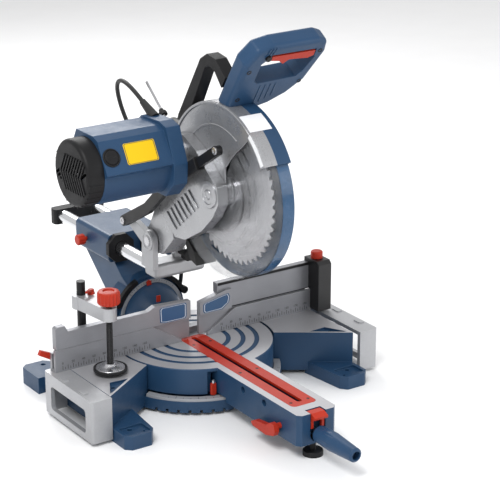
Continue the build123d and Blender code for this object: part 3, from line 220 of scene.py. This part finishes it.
BLUE = (0.015, 0.050, 0.112)
ALU = (0.42, 0.425, 0.44)
DRAWN = (0.27, 0.275, 0.295)
RED = (0.42, 0.028, 0.012)
BLACK = (0.009, 0.009, 0.010)
DRAWN_GRAIN = dict(grain=90, bump=0.12, stretch=(0.4, 6, 22), edge=0.5)
PRINT = dict(grain=900, bump=0.05)
# Each edge colour below is a lighter copy of its finish, laid on the edges as edge wear and as a painted
# highlight.
paint = {
    "blue_paint": material("blue_powder_coat", BLUE, 0.38, edge=0.5, edge_wear_and_highlight_colour=(0.10, 0.22, 0.38), grain=900,
                           bump=0.22, Coat_Weight=0.12, Coat_Roughness=0.25, Specular_IOR_Level=0.35),
    "blue_top": material("blue_casting_machined_top", BLUE, 0.38, edge=0.5, edge_wear_and_highlight_colour=(0.12, 0.25, 0.42),
                         grain=900, bump=0.22, top=((0.47, 0.47, 0.49), TABLE_TOP), Specular_IOR_Level=0.35),
    "bare_aluminium": material("cast_aluminium", ALU, 0.42, 0.55, grain=420, bump=0.25, edge=0.5,
                               edge_wear_and_highlight_colour=(0.85, 0.85, 0.87)),
    "drawn_aluminium": material("drawn_aluminium", DRAWN, 0.40, 0.5, edge_wear_and_highlight_colour=(0.8, 0.8, 0.82),
                                **DRAWN_GRAIN),
    "fence_and_post": material("drawn_aluminium_black_post", DRAWN, 0.40, 0.5, edge_wear_and_highlight_colour=(0.5, 0.5, 0.52),
                               beyond=(BLACK, POST_START), **DRAWN_GRAIN),
    "blue_plastic": material("blue_moulded_plastic", (0.016, 0.053, 0.120), 0.42, grain=1300, bump=0.30,
                             edge=0.35, edge_wear_and_highlight_colour=(0.06, 0.15, 0.29), radius=1.6, Specular_IOR_Level=0.34),
    "silver_paint": material("silver_paint", (0.40, 0.405, 0.42), 0.30, 0.7, grain=1500, bump=0.14, radius=1.2,
                             edge=0.4, edge_wear_and_highlight_colour=(0.88, 0.88, 0.9), Coat_Weight=0.2),
    "black_plastic": material("black_moulded_plastic", BLACK, 0.47, vary=0.2, grain=1300, bump=0.35, radius=1.0,
                              edge=0.3, edge_wear_and_highlight_colour=(0.06, 0.06, 0.065), Specular_IOR_Level=0.24),
    "black_metal": material("black_oxide_steel", (0.010, 0.010, 0.011), 0.36, 0.15, vary=0.2, grain=800,
                            bump=0.2, edge=0.5, edge_wear_and_highlight_colour=(0.12, 0.12, 0.13), Specular_IOR_Level=0.28),
    "red_plastic": material("red_moulded_plastic", RED, 0.36, vary=0.07, grain=1100, bump=0.22, radius=0.8,
                            edge=0.4, edge_wear_and_highlight_colour=(0.68, 0.13, 0.06), Specular_IOR_Level=0.22),
    "grey_scale": material("scale_plate", (0.36, 0.37, 0.39), 0.5, 0.2, grain=800, bump=0.12, edge=0.4,
                           edge_wear_and_highlight_colour=(0.7, 0.7, 0.72)),
    "steel": material("ground_steel", (0.55, 0.55, 0.57), 0.28, 1.0, grain=260, bump=0.12, stretch=(1, 1, 9),
                      radius=0.3),
    "rail_chrome": material("chromed_rail", (0.74, 0.75, 0.77), 0.16, 1.0, vary=0.03, grain=200, bump=0.05,
                            stretch=(1, 16, 1), radius=0.3),
    "rubber": material("black_rubber", (0.012, 0.012, 0.012), 0.62, vary=0.2, grain=900, bump=0.3, radius=0.5),
    "yellow_label": material("yellow_plate", (0.78, 0.50, 0.006), 0.42, vary=0.04, radius=0.1,
                             Specular_IOR_Level=0.25, **PRINT),
    "white_label": material("white_plate", (0.80, 0.81, 0.83), 0.35, vary=0.03, radius=0.1, **PRINT),
    "blue_label": material("blue_plate", (0.022, 0.078, 0.180), 0.35, vary=0.06, radius=0.1, **PRINT),
    "ink": material("scale_ink", (0.03, 0.03, 0.035), 0.55, vary=0.15, radius=0.05, **PRINT),
    "pale_ink": material("pale_ink", (0.62, 0.66, 0.70), 0.5, vary=0.08, radius=0.05, **PRINT),
    "brass": material("brass", (0.55, 0.38, 0.14), 0.32, 0.9, grain=600, bump=0.1, radius=0.3),
}


def blade_steel():
    """Ground disc: fine rings about the spindle."""
    n = Nodes("ground_blade")
    offset = n.add("ShaderNodeVectorMath", operation="SUBTRACT")
    offset.inputs[1].default_value = vec(*BLADE_CENTRE)
    n.link(n.coord.outputs["Object"], offset.inputs[0])
    length = n.add("ShaderNodeVectorMath", operation="LENGTH")
    n.link(offset.outputs[0], length.inputs[0])
    rings = n.add("ShaderNodeTexNoise", noise_dimensions="1D")
    rings.inputs["Scale"].default_value = 2600
    rings.inputs["Detail"].default_value = 2
    n.link(length.outputs["Value"], rings.inputs["W"])
    tone = n.ramp(rings.outputs["Fac"], [(0.3, (0.44, 0.44, 0.46)), (0.7, (0.66, 0.66, 0.68))])
    n.link(tone, n.shader.inputs["Base Color"])
    n.link(n.span(rings.outputs["Fac"], 0.22, 0.36), n.shader.inputs["Roughness"])
    relief = n.add("ShaderNodeBump")
    relief.inputs["Strength"].default_value = 0.12
    relief.inputs["Distance"].default_value = 0.0002
    n.link(rings.outputs["Fac"], relief.inputs["Height"])
    n.link(relief.outputs[0], n.shader.inputs["Normal"])
    n.shader.inputs["Metallic"].default_value = 1.0
    n.shader.inputs["Anisotropic"].default_value = 0.5
    return n.mat


def clear_guard(name, colour, alpha, rough):
    """Translucent polycarbonate with fine scuffs and a denser look where it is dusty."""
    n = Nodes(name)
    dust = n.noise(30, 6, rough=0.7)
    scuff = n.noise(420, 3, (1, 1, 7))
    tone = n.ramp(dust, [(0.3, shade(colour, 0.88)), (0.75, shade(colour, 1.12))])
    n.link(tone, n.shader.inputs["Base Color"])
    n.link(n.math("ADD", n.span(scuff, rough - 0.05, rough + 0.08), n.span(dust, -0.02, 0.06)),
           n.shader.inputs["Roughness"])
    n.link(n.span(dust, alpha - 0.05, alpha + 0.08), n.shader.inputs["Alpha"])
    bevel = n.add("ShaderNodeBevel", samples=4)
    bevel.inputs["Radius"].default_value = 1.2 * MM
    relief = n.add("ShaderNodeBump")
    relief.inputs["Strength"].default_value = 0.1
    relief.inputs["Distance"].default_value = 0.0003
    n.link(scuff, relief.inputs["Height"])
    n.link(bevel.outputs[0], relief.inputs["Normal"])
    n.link(relief.outputs[0], n.shader.inputs["Normal"])
    n.shader.inputs["Coat Weight"].default_value = 0.3
    return n.mat


paint["blade_steel"] = blade_steel()
paint["smoke_clear"] = clear_guard("smoky_polycarbonate", (0.34, 0.35, 0.37), 0.15, 0.12)
paint["blue_clear"] = clear_guard("blue_polycarbonate", (0.016, 0.072, 0.165), 0.96, 0.22)

FINISH = {
    "blue_paint": "tilt_arm upper_guard_right",
    "blue_top": "base_casting turntable",
    "bare_aluminium": "left_extension right_extension carriage_bracket clamp_arm",
    "drawn_aluminium": "lower_fence left_upper_fence",
    "fence_and_post": "right_upper_fence",
    "blue_plastic": "mitre_lock_handle motor_housing handle_shell",
    "silver_paint": "gear_case upper_guard_left motor_neck",
    "black_plastic": "front_foot bearing_caps rear_bar depth_stop_screw lock_pin_knob motor_end_cap"
                     " carry_handle dust_port lock_off_button",
    "black_metal": "left_bevel_stop right_bevel_stop guard_link clamp_post clamp_pad",
    "red_plastic": "kerf_insert detent_lever bevel_lock_lever rail_lock_knob trigger"
                   " left_fence_lever right_fence_knob clamp_screw",
    "grey_scale": "mitre_scale bevel_scale",
    "steel": "pivot_bolt bevel_pivot_bolt mitre_lock_rod linear_bearings hinge_pin armature blade_flanges"
             " arbor_shaft left_extension_rods right_extension_rods",
    "rail_chrome": "slide_rails",
    "blade_steel": "saw_blade",
    "smoke_clear": "lower_guard_left",
    "blue_clear": "lower_guard_right",
    "rubber": "cord_gland dust_chute plug",
}
for finish, names in FINISH.items():
    for name in names.split():
        for material_slot in bpy.data.objects[name].material_slots:
            material_slot.material = paint[finish]


# ---------------------------------------------------------------- mesh helpers
PRINT_THICK = 0.12         # how far scale marks and numerals stand out, in millimetres


def piece(name, bm, finish, body, bevel=0.0, smooth=True):
    """Turns a bmesh into a piece of the object that rides on a body, with its edges softened by bevel
    millimetres. Without a body, the piece is left unattached."""
    bmesh.ops.recalc_face_normals(bm, faces=bm.faces)
    mesh = bpy.data.meshes.new(name)
    bm.to_mesh(mesh)
    bm.free()
    obj = bpy.data.objects.new(name, mesh)
    bpy.context.scene.collection.objects.link(obj)
    mesh.materials.append(paint[finish])
    if smooth:
        mesh.shade_smooth()
        mesh.set_sharp_from_angle(angle=radians(32))
    if bevel:
        mod = obj.modifiers.new("soft_edge", "BEVEL")
        mod.width, mod.segments = bevel * MM, 2
        mod.limit_method, mod.angle_limit = "ANGLE", radians(40)
    if body:
        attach(obj, body)
    return obj


def prism(bm, points, place, depth):
    """Adds a plate: a flat outline in millimetres, put in place and thickened along the place's own Z."""
    low = [bm.verts.new(place @ Vector((x * MM, y * MM, 0))) for x, y in points]
    high = [bm.verts.new(place @ Vector((x * MM, y * MM, depth * MM))) for x, y in points]
    bm.faces.new(low[::-1])
    bm.faces.new(high)
    for i in range(len(points)):
        j = (i + 1) % len(points)
        bm.faces.new((low[i], low[j], high[j], high[i]))


def frame_at(origin, x_dir, z_dir):
    """A place: its origin in millimetres, its X and its Z directions."""
    z = Vector(z_dir).normalized()
    x = Vector(x_dir)
    x = (x - z * x.dot(z)).normalized()
    y = z.cross(x)
    m = Matrix((x, y, z)).transposed().to_4x4()
    m.translation = vec(*origin)
    return m


def revolve(bm, profile, place, sides, flutes=0, depth=0.0):
    """Adds a turned body: radius and height pairs in millimetres, about the place's own Z, with optional grip
    flutes on points whose third number is 1."""
    rings = []
    for point in profile:
        r, h = point[:2]
        ring = []
        for i in range(sides):
            a = 2 * pi * i / sides
            k = depth * (0.5 - 0.5 * cos(flutes * a)) if flutes and len(point) > 2 else 0
            ring.append(bm.verts.new(place @ Vector(((r - k) * cos(a) * MM, (r - k) * sin(a) * MM, h * MM))))
        rings.append(ring)
    for low, high in zip(rings, rings[1:]):
        for i in range(sides):
            j = (i + 1) % sides
            bm.faces.new((low[i], low[j], high[j], high[i]))
    bm.faces.new(rings[0][::-1])
    bm.faces.new(rings[-1])


def arc_plate(bm, r0, r1, a0, a1, place, depth, steps=24):
    """Adds part of a ring: two radii in millimetres and two angles in degrees, about the place's own Z."""
    ring = [radians(a0 + (a1 - a0) * i / steps) for i in range(steps + 1)]
    inner = [(r0 * cos(a), r0 * sin(a)) for a in ring]
    outer = [(r1 * cos(a), r1 * sin(a)) for a in ring]
    prism(bm, inner + outer[::-1], place, depth)


def rounded(w, h, r, steps=5):
    """The outline of a rounded rectangle about its centre."""
    points = []
    right, top = w / 2 - r, h / 2 - r
    for cx, cy, start in ((right, top, 0), (-right, top, 90), (-right, -top, 180), (right, -top, 270)):
        for i in range(steps + 1):
            a = radians(start + 90 * i / steps)
            points.append((cx + r * cos(a), cy + r * sin(a)))
    return points


def tube(bm, path, radius, sides):
    """Adds a round tube along points in metres, its rings carried along without twist."""
    path = [Vector(p) for p in path]
    tangents = [(b - a).normalized() for a, b in zip(path, path[1:])]
    tangents.append(tangents[-1])
    side = tangents[0].orthogonal().normalized()
    rings = []
    for i, p in enumerate(path):
        t = (tangents[max(i - 1, 0)] + tangents[i]).normalized()
        side = (side - t * side.dot(t)).normalized()
        other = t.cross(side)
        rings.append([bm.verts.new(p + radius * (cos(a) * side + sin(a) * other))
                      for a in (2 * pi * k / sides for k in range(sides))])
    for low, high in zip(rings, rings[1:]):
        for i in range(sides):
            j = (i + 1) % sides
            bm.faces.new((low[i], low[j], high[j], high[i]))
    bm.faces.new(rings[0][::-1])
    bm.faces.new(rings[-1])


def spline_points(name, points):
    """The points that a NURBS curve of order 3 runs through, with these control points in metres."""
    curve = bpy.data.curves.new(name, "CURVE")
    curve.dimensions = "3D"
    curve.resolution_u = 8
    spline = curve.splines.new("NURBS")
    spline.points.add(len(points) - 1)
    for control, p in zip(spline.points, points):
        control.co = (*p, 1)
    spline.order_u = 3
    spline.use_endpoint_u = True
    holder = bpy.data.objects.new(name, curve)
    bpy.context.scene.collection.objects.link(holder)
    bpy.context.view_layer.update()
    mesh = bpy.data.meshes.new_from_object(holder)
    path = [v.co.copy() for v in mesh.vertices]
    bpy.data.objects.remove(holder)
    bpy.data.curves.remove(curve)
    bpy.data.meshes.remove(mesh)
    return path


def numbers(bm, marks, place, size):
    """Adds small numerals: each is (text, x, y), in millimetres in the place's own plane."""
    for text, x, y in marks:
        curve = bpy.data.curves.new("numeral", "FONT")
        curve.body, curve.size, curve.align_x = text, size * MM, "CENTER"
        curve.extrude, curve.resolution_u = PRINT_THICK * MM, 2
        holder = bpy.data.objects.new("numeral", curve)
        bpy.context.scene.collection.objects.link(holder)
        bpy.context.view_layer.update()
        mesh = bpy.data.meshes.new_from_object(holder)
        mesh.transform(place @ Matrix.Translation(vec(x, y, 0)))
        bm.from_mesh(mesh)
        bpy.data.objects.remove(holder)
        bpy.data.curves.remove(curve)
        bpy.data.meshes.remove(mesh)


# ---------------------------------------------------------------- cord
CORD_D = 7.5
ON_FLOOR = 4.15            # height of the cord's middle where it lies on the floor
ROUTE = [(-84, 21.87, 518.05), (-84, 74.18, 543.05), (-68, 140, 525), (-40, 168, 460), (0, 178, 385),
         (64, 176, 290), (84, 176, 180), (88, 186, 95), (67, 210, 28.87)]
TAIL = [(67, 290, ON_FLOOR), (84, 318, 8), (112, 334, 17.5)]
COIL_X, COIL_Y, COIL_R, COIL_TURNS, COIL_PITCH, PER_TURN = 22, 258, 45, 3, 7.8, 16
coil = []
for i in range(COIL_TURNS * PER_TURN):
    turn = (i + 0.5) / PER_TURN
    r = COIL_R / cos(pi / PER_TURN)
    coil.append((COIL_X + r * cos(2 * pi * turn), COIL_Y + r * sin(2 * pi * turn),
                 ON_FLOOR + COIL_PITCH * (COIL_TURNS - turn)))
cord_path = spline_points("cord_line", [vec(*p) for p in ROUTE + coil + TAIL])
bm = bmesh.new()
tube(bm, cord_path, CORD_D / 2 * MM, 16)
cord = piece("mains_cord", bm, "rubber", None)
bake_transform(cord)
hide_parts("power_cord", "cord_coil")

PLUG_DIR, PLUG_SIDE = Vector((0.868, 0.496, 0)), (-0.496, 0.868, 0)
PLUG_FACE = 44             # length of the plug's body, from which its two pins stand out
bm = bmesh.new()
plug_place = frame_at((112.8, 334.4, 17.5), PLUG_SIDE, PLUG_DIR)
revolve(bm, [(4.2, 0.2), (7.4, 0.4), (8, 1), (6.4, 3.4), (7.9, 4.4), (7.0, 7.0), (9.4, 8.2), (8.8, 10.6),
             (11.8, 12.2), (11.6, 14.5), (15.6, 18.2), (17, 21), (16.2, 27), (16.4, 38), (17, 42.4),
             (16.2, PLUG_FACE)], plug_place, 36)
for side in (-9.5, 9.5):
    pin = frame_at(tuple(c / MM for c in plug_place @ vec(side, 0, PLUG_FACE)), PLUG_SIDE, PLUG_DIR)
    revolve(bm, [(2.4, -0.6), (2.4, 17.6), (1.9, 18.7), (1.0, 19)], pin, 16)
plug = piece("mains_plug", bm, "rubber", "carriage")
plug.data.materials.append(paint["brass"])
for face in plug.data.polygons:
    first = plug.data.vertices[face.vertices[0]].co
    if (first - plug_place.translation).dot(PLUG_DIR) > (PLUG_FACE + 0.1) * MM:
        face.material_index = 1
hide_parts("plug")


# ---------------------------------------------------------------- clamp screw, knob and pad
def upright(x, y, z=0.0):
    """A place that stands upright."""
    return frame_at((x, y, z), (1, 0, 0), (0, 0, 1))


def facing_left(x, y, z):
    """A place on a face that looks to the left: its Z points out of the face."""
    return frame_at((x, y, z), (0, 1, 0), (-1, 0, 0))


def facing_front(x, y, z):
    """A place on a face that looks to the front: its X points right and its Y up."""
    return frame_at((x, y, z), (1, 0, 0), (0, -1, 0))


def side_plane(x, y=0, z=0):
    """A place in a plane that looks to the left: its X points to the front and its Y up."""
    return frame_at((x, y, z), (0, -1, 0), (-1, 0, 0))


CLAMP = upright(-197, -47)
THREAD_PITCH = 2.35
bm = bmesh.new()
thread = [(4.6, 98.2)]
for k in range(44):
    rise = THREAD_PITCH * k
    thread += [(5.5, 99 + rise), (5.5, 99.7 + rise), (4.9, 100.6 + rise), (4.9, 101 + rise)]
revolve(bm, thread + [(5.5, 203.2)], CLAMP, 24)
piece("clamp_threaded_rod", bm, "black_metal", "clamp_screw")
bm = bmesh.new()
revolve(bm, [(8, 203), (14, 203.2), (17.5, 204.2), (19.2, 206, 1), (19.5, 208, 1), (19.5, 221, 1),
             (18.9, 224, 1), (17.2, 226), (14, 227), (10.4, 227), (9.6, 226.2), (9, 224.6), (3, 224.4)],
        CLAMP, 144, flutes=18, depth=1.9)
clamp_knob = piece("clamp_knob", bm, "red_plastic", "clamp_screw")
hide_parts("clamp_screw")
bm = bmesh.new()
revolve(bm, [(26.5, 84), (28.4, 84.3), (29, 85.2), (29, 89), (28.4, 90), (26.6, 90.4), (25.4, 89.8),
             (25, 88.2), (12, 88)], CLAMP, 64)
piece("clamp_pad_rim", bm, "black_metal", "clamp_pad")
bm = bmesh.new()
revolve(bm, [(25, 87.9), (24.9, 89.2), (24.2, 90.1), (20, 91.1), (13.4, 93.4), (11.4, 95), (11, 96.2),
             (11, 97.4), (10.3, 98), (6, 98)], CLAMP, 64)
clamp_dish = piece("clamp_pad_dish", bm, "steel", "clamp_pad")
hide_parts("clamp_pad")
bm = bmesh.new()
revolve(bm, [(6.5, 198), (6.5, 201), (5.5, 202), (5.2, 206), (4, 207)], upright(-192, 22), 24)
prism(bm, [(-3.2, -3.2), (-3.2, 3.2), (4, 3.6), (15, 1.8), (20, 0.6), (20, -2.2), (14, -3.4), (4, -3.4)],
      frame_at((-192, 22, 202.5), (-0.75, -0.6, 0.12), (0.1, 0.1, 0.98)), 4)
piece("clamp_wing_screw", bm, "red_plastic", "clamp", 0.6)

# ---------------------------------------------------------------- fences: rules, plates and strips
FENCE = facing_front(0, 0, 0)
RULE_Z, RULE_STEP, TICK_HALF = 83, 5, 0.42
for name, start, stop, first in (("left_rule", -262, -90, 0), ("right_rule", 56, 244, 10)):
    bm = bmesh.new()
    labels = []
    for k, x in enumerate(range(start, stop, RULE_STEP)):
        top = RULE_Z + (7.5 if k % 2 == 0 else 4.5)
        left, right = x - TICK_HALF, x + TICK_HALF
        prism(bm, [(left, RULE_Z), (right, RULE_Z), (right, top), (left, top)], FENCE, 0.15)
        if k % 4 == 0:
            labels.append((str(RULE_STEP * k + first), x, 92.6))
    numbers(bm, labels, FENCE, 6.2)
    piece(name, bm, "ink", "base", smooth=False)


def plate(name, outline, place, body, finish, border, thick=0.5, inset=2.2):
    """A thin blank plate with softened edges, and a line that follows its outline."""
    bm = bmesh.new()
    prism(bm, outline, place, thick)
    piece(name, bm, finish, body, 0.15)
    cx = sum(p[0] for p in outline) / len(outline)
    cy = sum(p[1] for p in outline) / len(outline)

    def shrink(p, d):
        k = 1 - d / hypot(p[0] - cx, p[1] - cy)
        return (cx + (p[0] - cx) * k, cy + (p[1] - cy) * k)

    bm = bmesh.new()
    for a, b in zip(outline, outline[1:] + outline[:1]):
        prism(bm, [shrink(a, inset), shrink(b, inset), shrink(b, inset + 1.2), shrink(a, inset + 1.2)],
              place @ Matrix.Translation(vec(0, 0, thick)), 0.08)
    piece(name + "_line", bm, border, body, smooth=False)


plate("left_fence_plate", [(-70, 125), (-60, 122.6), (-20, 122.6), (-16.5, 126), (-16.5, 149), (-19, 151.5),
                           (-68, 152.2), (-71, 149)],
      FENCE, "left_fence", "blue_label", "pale_ink")
plate("right_fence_plate", [(18, 126), (21, 122.6), (58, 122.6), (72, 133), (74, 143), (71, 150), (60, 149),
                            (20, 141), (18, 138)],
      FENCE, "right_fence", "blue_label", "pale_ink")
bm = bmesh.new()
for low, high, y0, y1 in ((165.6, 170.2, 4.4, 7.2), (120.6, 122.2, 4.9, 5.4)):
    prism(bm, [(52, low), (247.5, low), (247.5, high), (52, high)], facing_front(0, y1, 0), y1 - y0)
piece("rail_strip", bm, "black_plastic", "right_fence", 0.25)
for k, (x, z) in enumerate(((-236, 112), (-128, 112), (128, 112), (226, 112))):
    bm = bmesh.new()
    revolve(bm, [(5.2, -1.0), (5.2, 0.9), (4.6, 1.5), (2.6, 1.6), (2.4, 0.2), (0.4, 0.1)],
            frame_at((x, 18, z), (1, 0, 0), (0, 1, 0)), 6 if k % 2 else 24)
    piece(f"fence_bolt_{k}", bm, "steel", "base")

# ---------------------------------------------------------------- table: screws, pointers and scales
INSERT_SCREWS = [(side * 17, y) for y in (-318, -170, -24) for side in (-1, 1)]
for k, (x, y) in enumerate(INSERT_SCREWS):
    bm = bmesh.new()
    place = upright(x, y, TABLE_TOP - 0.8)
    revolve(bm, [(3.1, -1.4), (3.3, 0.2), (2.9, 0.55), (1.0, 0.62)], place, 24)
    for turn in (45, 135):
        prism(bm, [(-2.0, -0.35), (2.0, -0.35), (2.0, 0.35), (-2.0, 0.35)],
              place @ Matrix.Rotation(radians(turn), 4, "Z") @ Matrix.Translation(vec(0, 0, 0.55)), 0.12)
    piece(f"insert_screw_{k}", bm, "black_metal", "table")
bm = bmesh.new()
prism(bm, [(-5, 33), (0, 31.6), (5, 33), (5, 52), (3.6, 55), (-3.6, 55), (-5, 52)],
      facing_front(-46, -128.5, 0), 5)
piece("mitre_pointer", bm, "red_plastic", "table", 0.8)
bm = bmesh.new()
revolve(bm, [(3.4, 0), (3.4, 4.2), (2.9, 5), (1.5, 5), (1.4, 3.6), (0.3, 3.5)], upright(-46, -131, 54.6), 24)
piece("mitre_pointer_screw", bm, "steel", "table")
MARK_STEP, LONG_MARK, MARK_HALF = 5, 15, 0.35
for name, body, place, inner, outer, facing, reach in (
        ("mitre_marks", "base", upright(0, 0, 31), 141, 150, -90, 50),
        ("bevel_marks", "table", facing_front(0, 144.6, TABLE_TOP), 59.5, 64.5, 90, 45)):
    bm = bmesh.new()
    for mark in range(-reach, reach + 1, MARK_STEP):
        inside = inner if mark % LONG_MARK == 0 else (inner + outer) / 2
        prism(bm, [(inside, -MARK_HALF), (outer, -MARK_HALF), (outer, MARK_HALF), (inside, MARK_HALF)],
              place @ Matrix.Rotation(radians(facing + mark), 4, "Z"), PRINT_THICK)
    piece(name, bm, "ink", body, smooth=False)
bm = bmesh.new()
prism(bm, [(-4.5, -7), (4.5, -7), (4.5, 5), (0, 8), (-4.5, 5)],
      frame_at((-7, 143.6, 139), (1, 0, 0.1), (0, -1, 0)), 3)
piece("bevel_pointer_top", bm, "red_plastic", "tilt", 0.6)
bm = bmesh.new()
prism(bm, [(-4, -6), (4, -6), (4, 6), (-4, 6)], facing_front(-15, 98, 127), 3)
piece("bevel_pointer_low", bm, "red_plastic", "table", 0.8)

# ---------------------------------------------------------------- motor
FLAT = frame_at((0, -84.1, 467.1), (1, 0, 0), (0, -0.857, 0.514))     # the housing's upper front flat
bm = bmesh.new()
place = FLAT @ Matrix.Translation(vec(-206, 0, 0))
revolve(bm, [(15.5, -1.5), (15.5, 1.2), (14.6, 2), (13.2, 2.1), (12.8, 1.2), (12.2, 1.1), (11.8, 2.6),
             (11, 3.2), (2, 3.4)], place, 48)
prism(bm, [(-8, -1), (8, -1), (8, 1), (-8, 1)], place @ Matrix.Translation(vec(0, 0, 3.1)), 0.7)
piece("brush_cap", bm, "black_plastic", "head")
plate("motor_plate", [(-180, -15), (-178, -17), (-124, -17), (-122, -15), (-122, 17), (-124, 19), (-178, 19),
                      (-180, 17)],
      FLAT, "head", "yellow_label", "ink", 0.4, 1.4)
bm = bmesh.new()
motor_end = side_plane(-253, MOTOR_Y, MOTOR_Z)
for k in range(9):
    tip = -34 + 8.2 * k
    run = min(30, 50 - abs(tip + 14) * 0.55)
    lean = 0.55 * run
    for side in (-1, 1):
        prism(bm, [(tip, 0), (tip + 3.4, 0), (tip + 3.4 + lean, side * run), (tip + lean, side * run)],
              motor_end, 2.2)
piece("motor_vent_ribs", bm, "black_plastic", "head", 0.5)
bm = bmesh.new()
for k in range(16):
    a = radians(-170 + 13 * k)
    spin = frame_at((-250, MOTOR_Y, MOTOR_Z), (0, cos(a), sin(a)), (1, 0, 0))
    prism(bm, [(55.8, -1.6), (57.4, -1.3), (57.4, 1.3), (55.8, 1.6)], spin, 25)
piece("motor_cap_ribs", bm, "black_plastic", "head", 0.3)
for k, (y, z) in enumerate(((-62, 478), (6, 478), (8, 396), (-64, 396))):
    bm = bmesh.new()
    revolve(bm, [(4.4, -1), (4.4, 1.6), (3.8, 2.2), (2.2, 2.2), (2.0, 0.8), (0.3, 0.7)],
            facing_left(-99, y, z), 24)
    piece(f"motor_screw_{k}", bm, "steel", "head")

# ---------------------------------------------------------------- gear case, guard, link
bm = bmesh.new()
case = side_plane(CASE_FACE)
for k in range(7):
    out, z = 3 + 11.5 * k, 312 + 9.5 * k
    prism(bm, [(out - 13.4, z + 8.5), (out - 11.4, z + 10.5), (out + 18, z - 13.5), (out + 16, z - 15.5)],
          case, 2.6)
piece("gear_case_ribs", bm, "silver_paint", "head", 0.7)
bm = bmesh.new()
revolve(bm, [(24, 0), (24, 1.6), (22.5, 2.6), (17, 2.6), (16, 1.4), (9, 1.4), (8, 3.4), (6.4, 4), (5.8, 2.6),
             (0.4, 2.5)], facing_left(CASE_FACE, *BLADE_CENTRE[1:]), 48)
piece("spindle_cap", bm, "silver_paint", "head")
bm = bmesh.new()
revolve(bm, [(17.5, -1), (17.5, 0.7), (16.8, 1.4), (14, 1.4), (13.2, 0.4), (10.4, 0.4), (9.6, 1.4), (6.2, 1.5),
             (5.6, 0.8), (0.4, 0.7)], facing_left(-57, 60, 255), 48)
piece("hinge_cap", bm, "silver_paint", "carriage")
for name, r0, r1, a0, a1, finish, thick, bevel in (
        ("guard_label", 142.5, 151.2, 31, 53, "white_label", 0.4, 0.2),
        ("guard_bead_outer", 147, 151.6, 53, 148, "silver_paint", 2.2, 0.7),
        ("guard_bead_inner", 112, 115, 62, 140, "silver_paint", 1.6, 0.7)):
    bm = bmesh.new()
    arc_plate(bm, r0, r1, a0, a1, side_plane(GUARD_FACE, *BLADE_CENTRE[1:]), thick)
    piece(name, bm, finish, "head", bevel)
bm = bmesh.new()
arc_plate(bm, 152.1, 152.7, 54, 68, side_plane(18, *BLADE_CENTRE[1:]), 42, steps=8)
piece("guard_rim_label", bm, "white_label", "head")
bm = bmesh.new()
for y, z in ((122, 277), (-177, 479)):
    revolve(bm, [(6.4, -0.5), (6.4, 1.6), (5.6, 2.4), (3, 2.5), (2.6, 1.5), (0.3, 1.4)],
            facing_left(LINK_FACE, y, z), 28)
piece("link_rivets", bm, "steel", "link")
bm = bmesh.new()
along = (0, 31 - 177, 479 - 387)
prism(bm, rounded(17, 23, 4), frame_at((LINK_FACE + 5, -88, 422.9), (1, 0, 0), along), 40)
piece("link_sleeve", bm, "black_plastic", "link", 0.8)
bm = bmesh.new()
tube(bm, [vec(-40, 20, 478), vec(-40, 30, 490), vec(-40, 40, 498), vec(-40, 82, 532)], 2.5 * MM, 6)
piece("hex_key", bm, "steel", "head", 0.3)
bm = bmesh.new()
revolve(bm, [(7.5, 0), (7.5, 5), (6.5, 7), (4.4, 8), (4.2, 12), (3, 12.4)],
        frame_at((-40, 27, 486), (1, 0, 0), (0, 0.78, 0.63)), 24)
piece("hex_key_holder", bm, "rubber", "head")

# ---------------------------------------------------------------- handle
LEAN = radians(33)
GRIP_OUT = (0, -cos(LEAN), -sin(LEAN))
GRIP_FACE = 17.05          # from the handle's middle plane to its front face
grip = frame_at((0, -137 + GRIP_FACE * GRIP_OUT[1], 552 + GRIP_FACE * GRIP_OUT[2]), (1, 0, 0), GRIP_OUT)
bm = bmesh.new()
for k in range(3):
    x = 8 + 6 * k
    prism(bm, [(x, 104), (x + 1.8, 104), (x + 6.8, 119), (x + 5, 119)], grip, 0.9)
for k in range(4):
    x, foot = 22 + 10 * k, -10 + 5 * k
    prism(bm, [(x, foot), (x + 2, foot), (x + 2, 34), (x, 34)], grip, 0.7)
piece("grip_ridges", bm, "blue_plastic", "head", 0.3)
for k, (x, u) in enumerate(((-12, 8), (-12, 70), (116, 96), (100, 30))):
    bm = bmesh.new()
    revolve(bm, [(4.2, -0.4), (4.2, 0.5), (3.4, 0.7), (2.4, 0.5), (2.2, -0.2), (0.3, -0.2)],
            grip @ Matrix.Translation(vec(x, u, 0)), 24)
    piece(f"grip_screw_{k}", bm, "black_metal", "head")

# ---------------------------------------------------------------- floor and light
bm = bmesh.new()
bmesh.ops.create_grid(bm, x_segments=8, y_segments=8, size=4)
floor_mesh = bpy.data.meshes.new("floor")
bm.to_mesh(floor_mesh)
bm.free()
floor = bpy.data.objects.new("floor", floor_mesh)
bpy.context.scene.collection.objects.link(floor)
floor_mesh.materials.append(material("pale_floor", (0.94, 0.94, 0.945), 0.6, vary=0.01, grain=300, bump=0.03))

world = bpy.data.worlds.new("studio")
bpy.context.scene.world = world
world.use_nodes = True
background = world.node_tree.nodes["Background"]
background.inputs["Color"].default_value = (1, 1, 1, 1)
background.inputs["Strength"].default_value = 0.75


def area_light(name, place, aim, size, power):
    light = bpy.data.lights.new(name, "AREA")
    light.shape, light.energy = "RECTANGLE", power
    light.size, light.size_y = size
    obj = bpy.data.objects.new(name, light)
    obj.location = place
    obj.rotation_euler = (Vector(aim) - Vector(place)).to_track_quat("-Z", "Y").to_euler()
    bpy.context.scene.collection.objects.link(obj)


area_light("key_light", (-1.3, -1.0, 2.3), (0, 0, 0.25), (1.0, 1.0), 40)
area_light("fill_light", (1.9, -1.9, 1.0), (0, 0, 0.25), (1.6, 1.2), 14)
area_light("rim_light", (0.6, 2.1, 1.6), (0, 0, 0.35), (1.4, 0.8), 26)
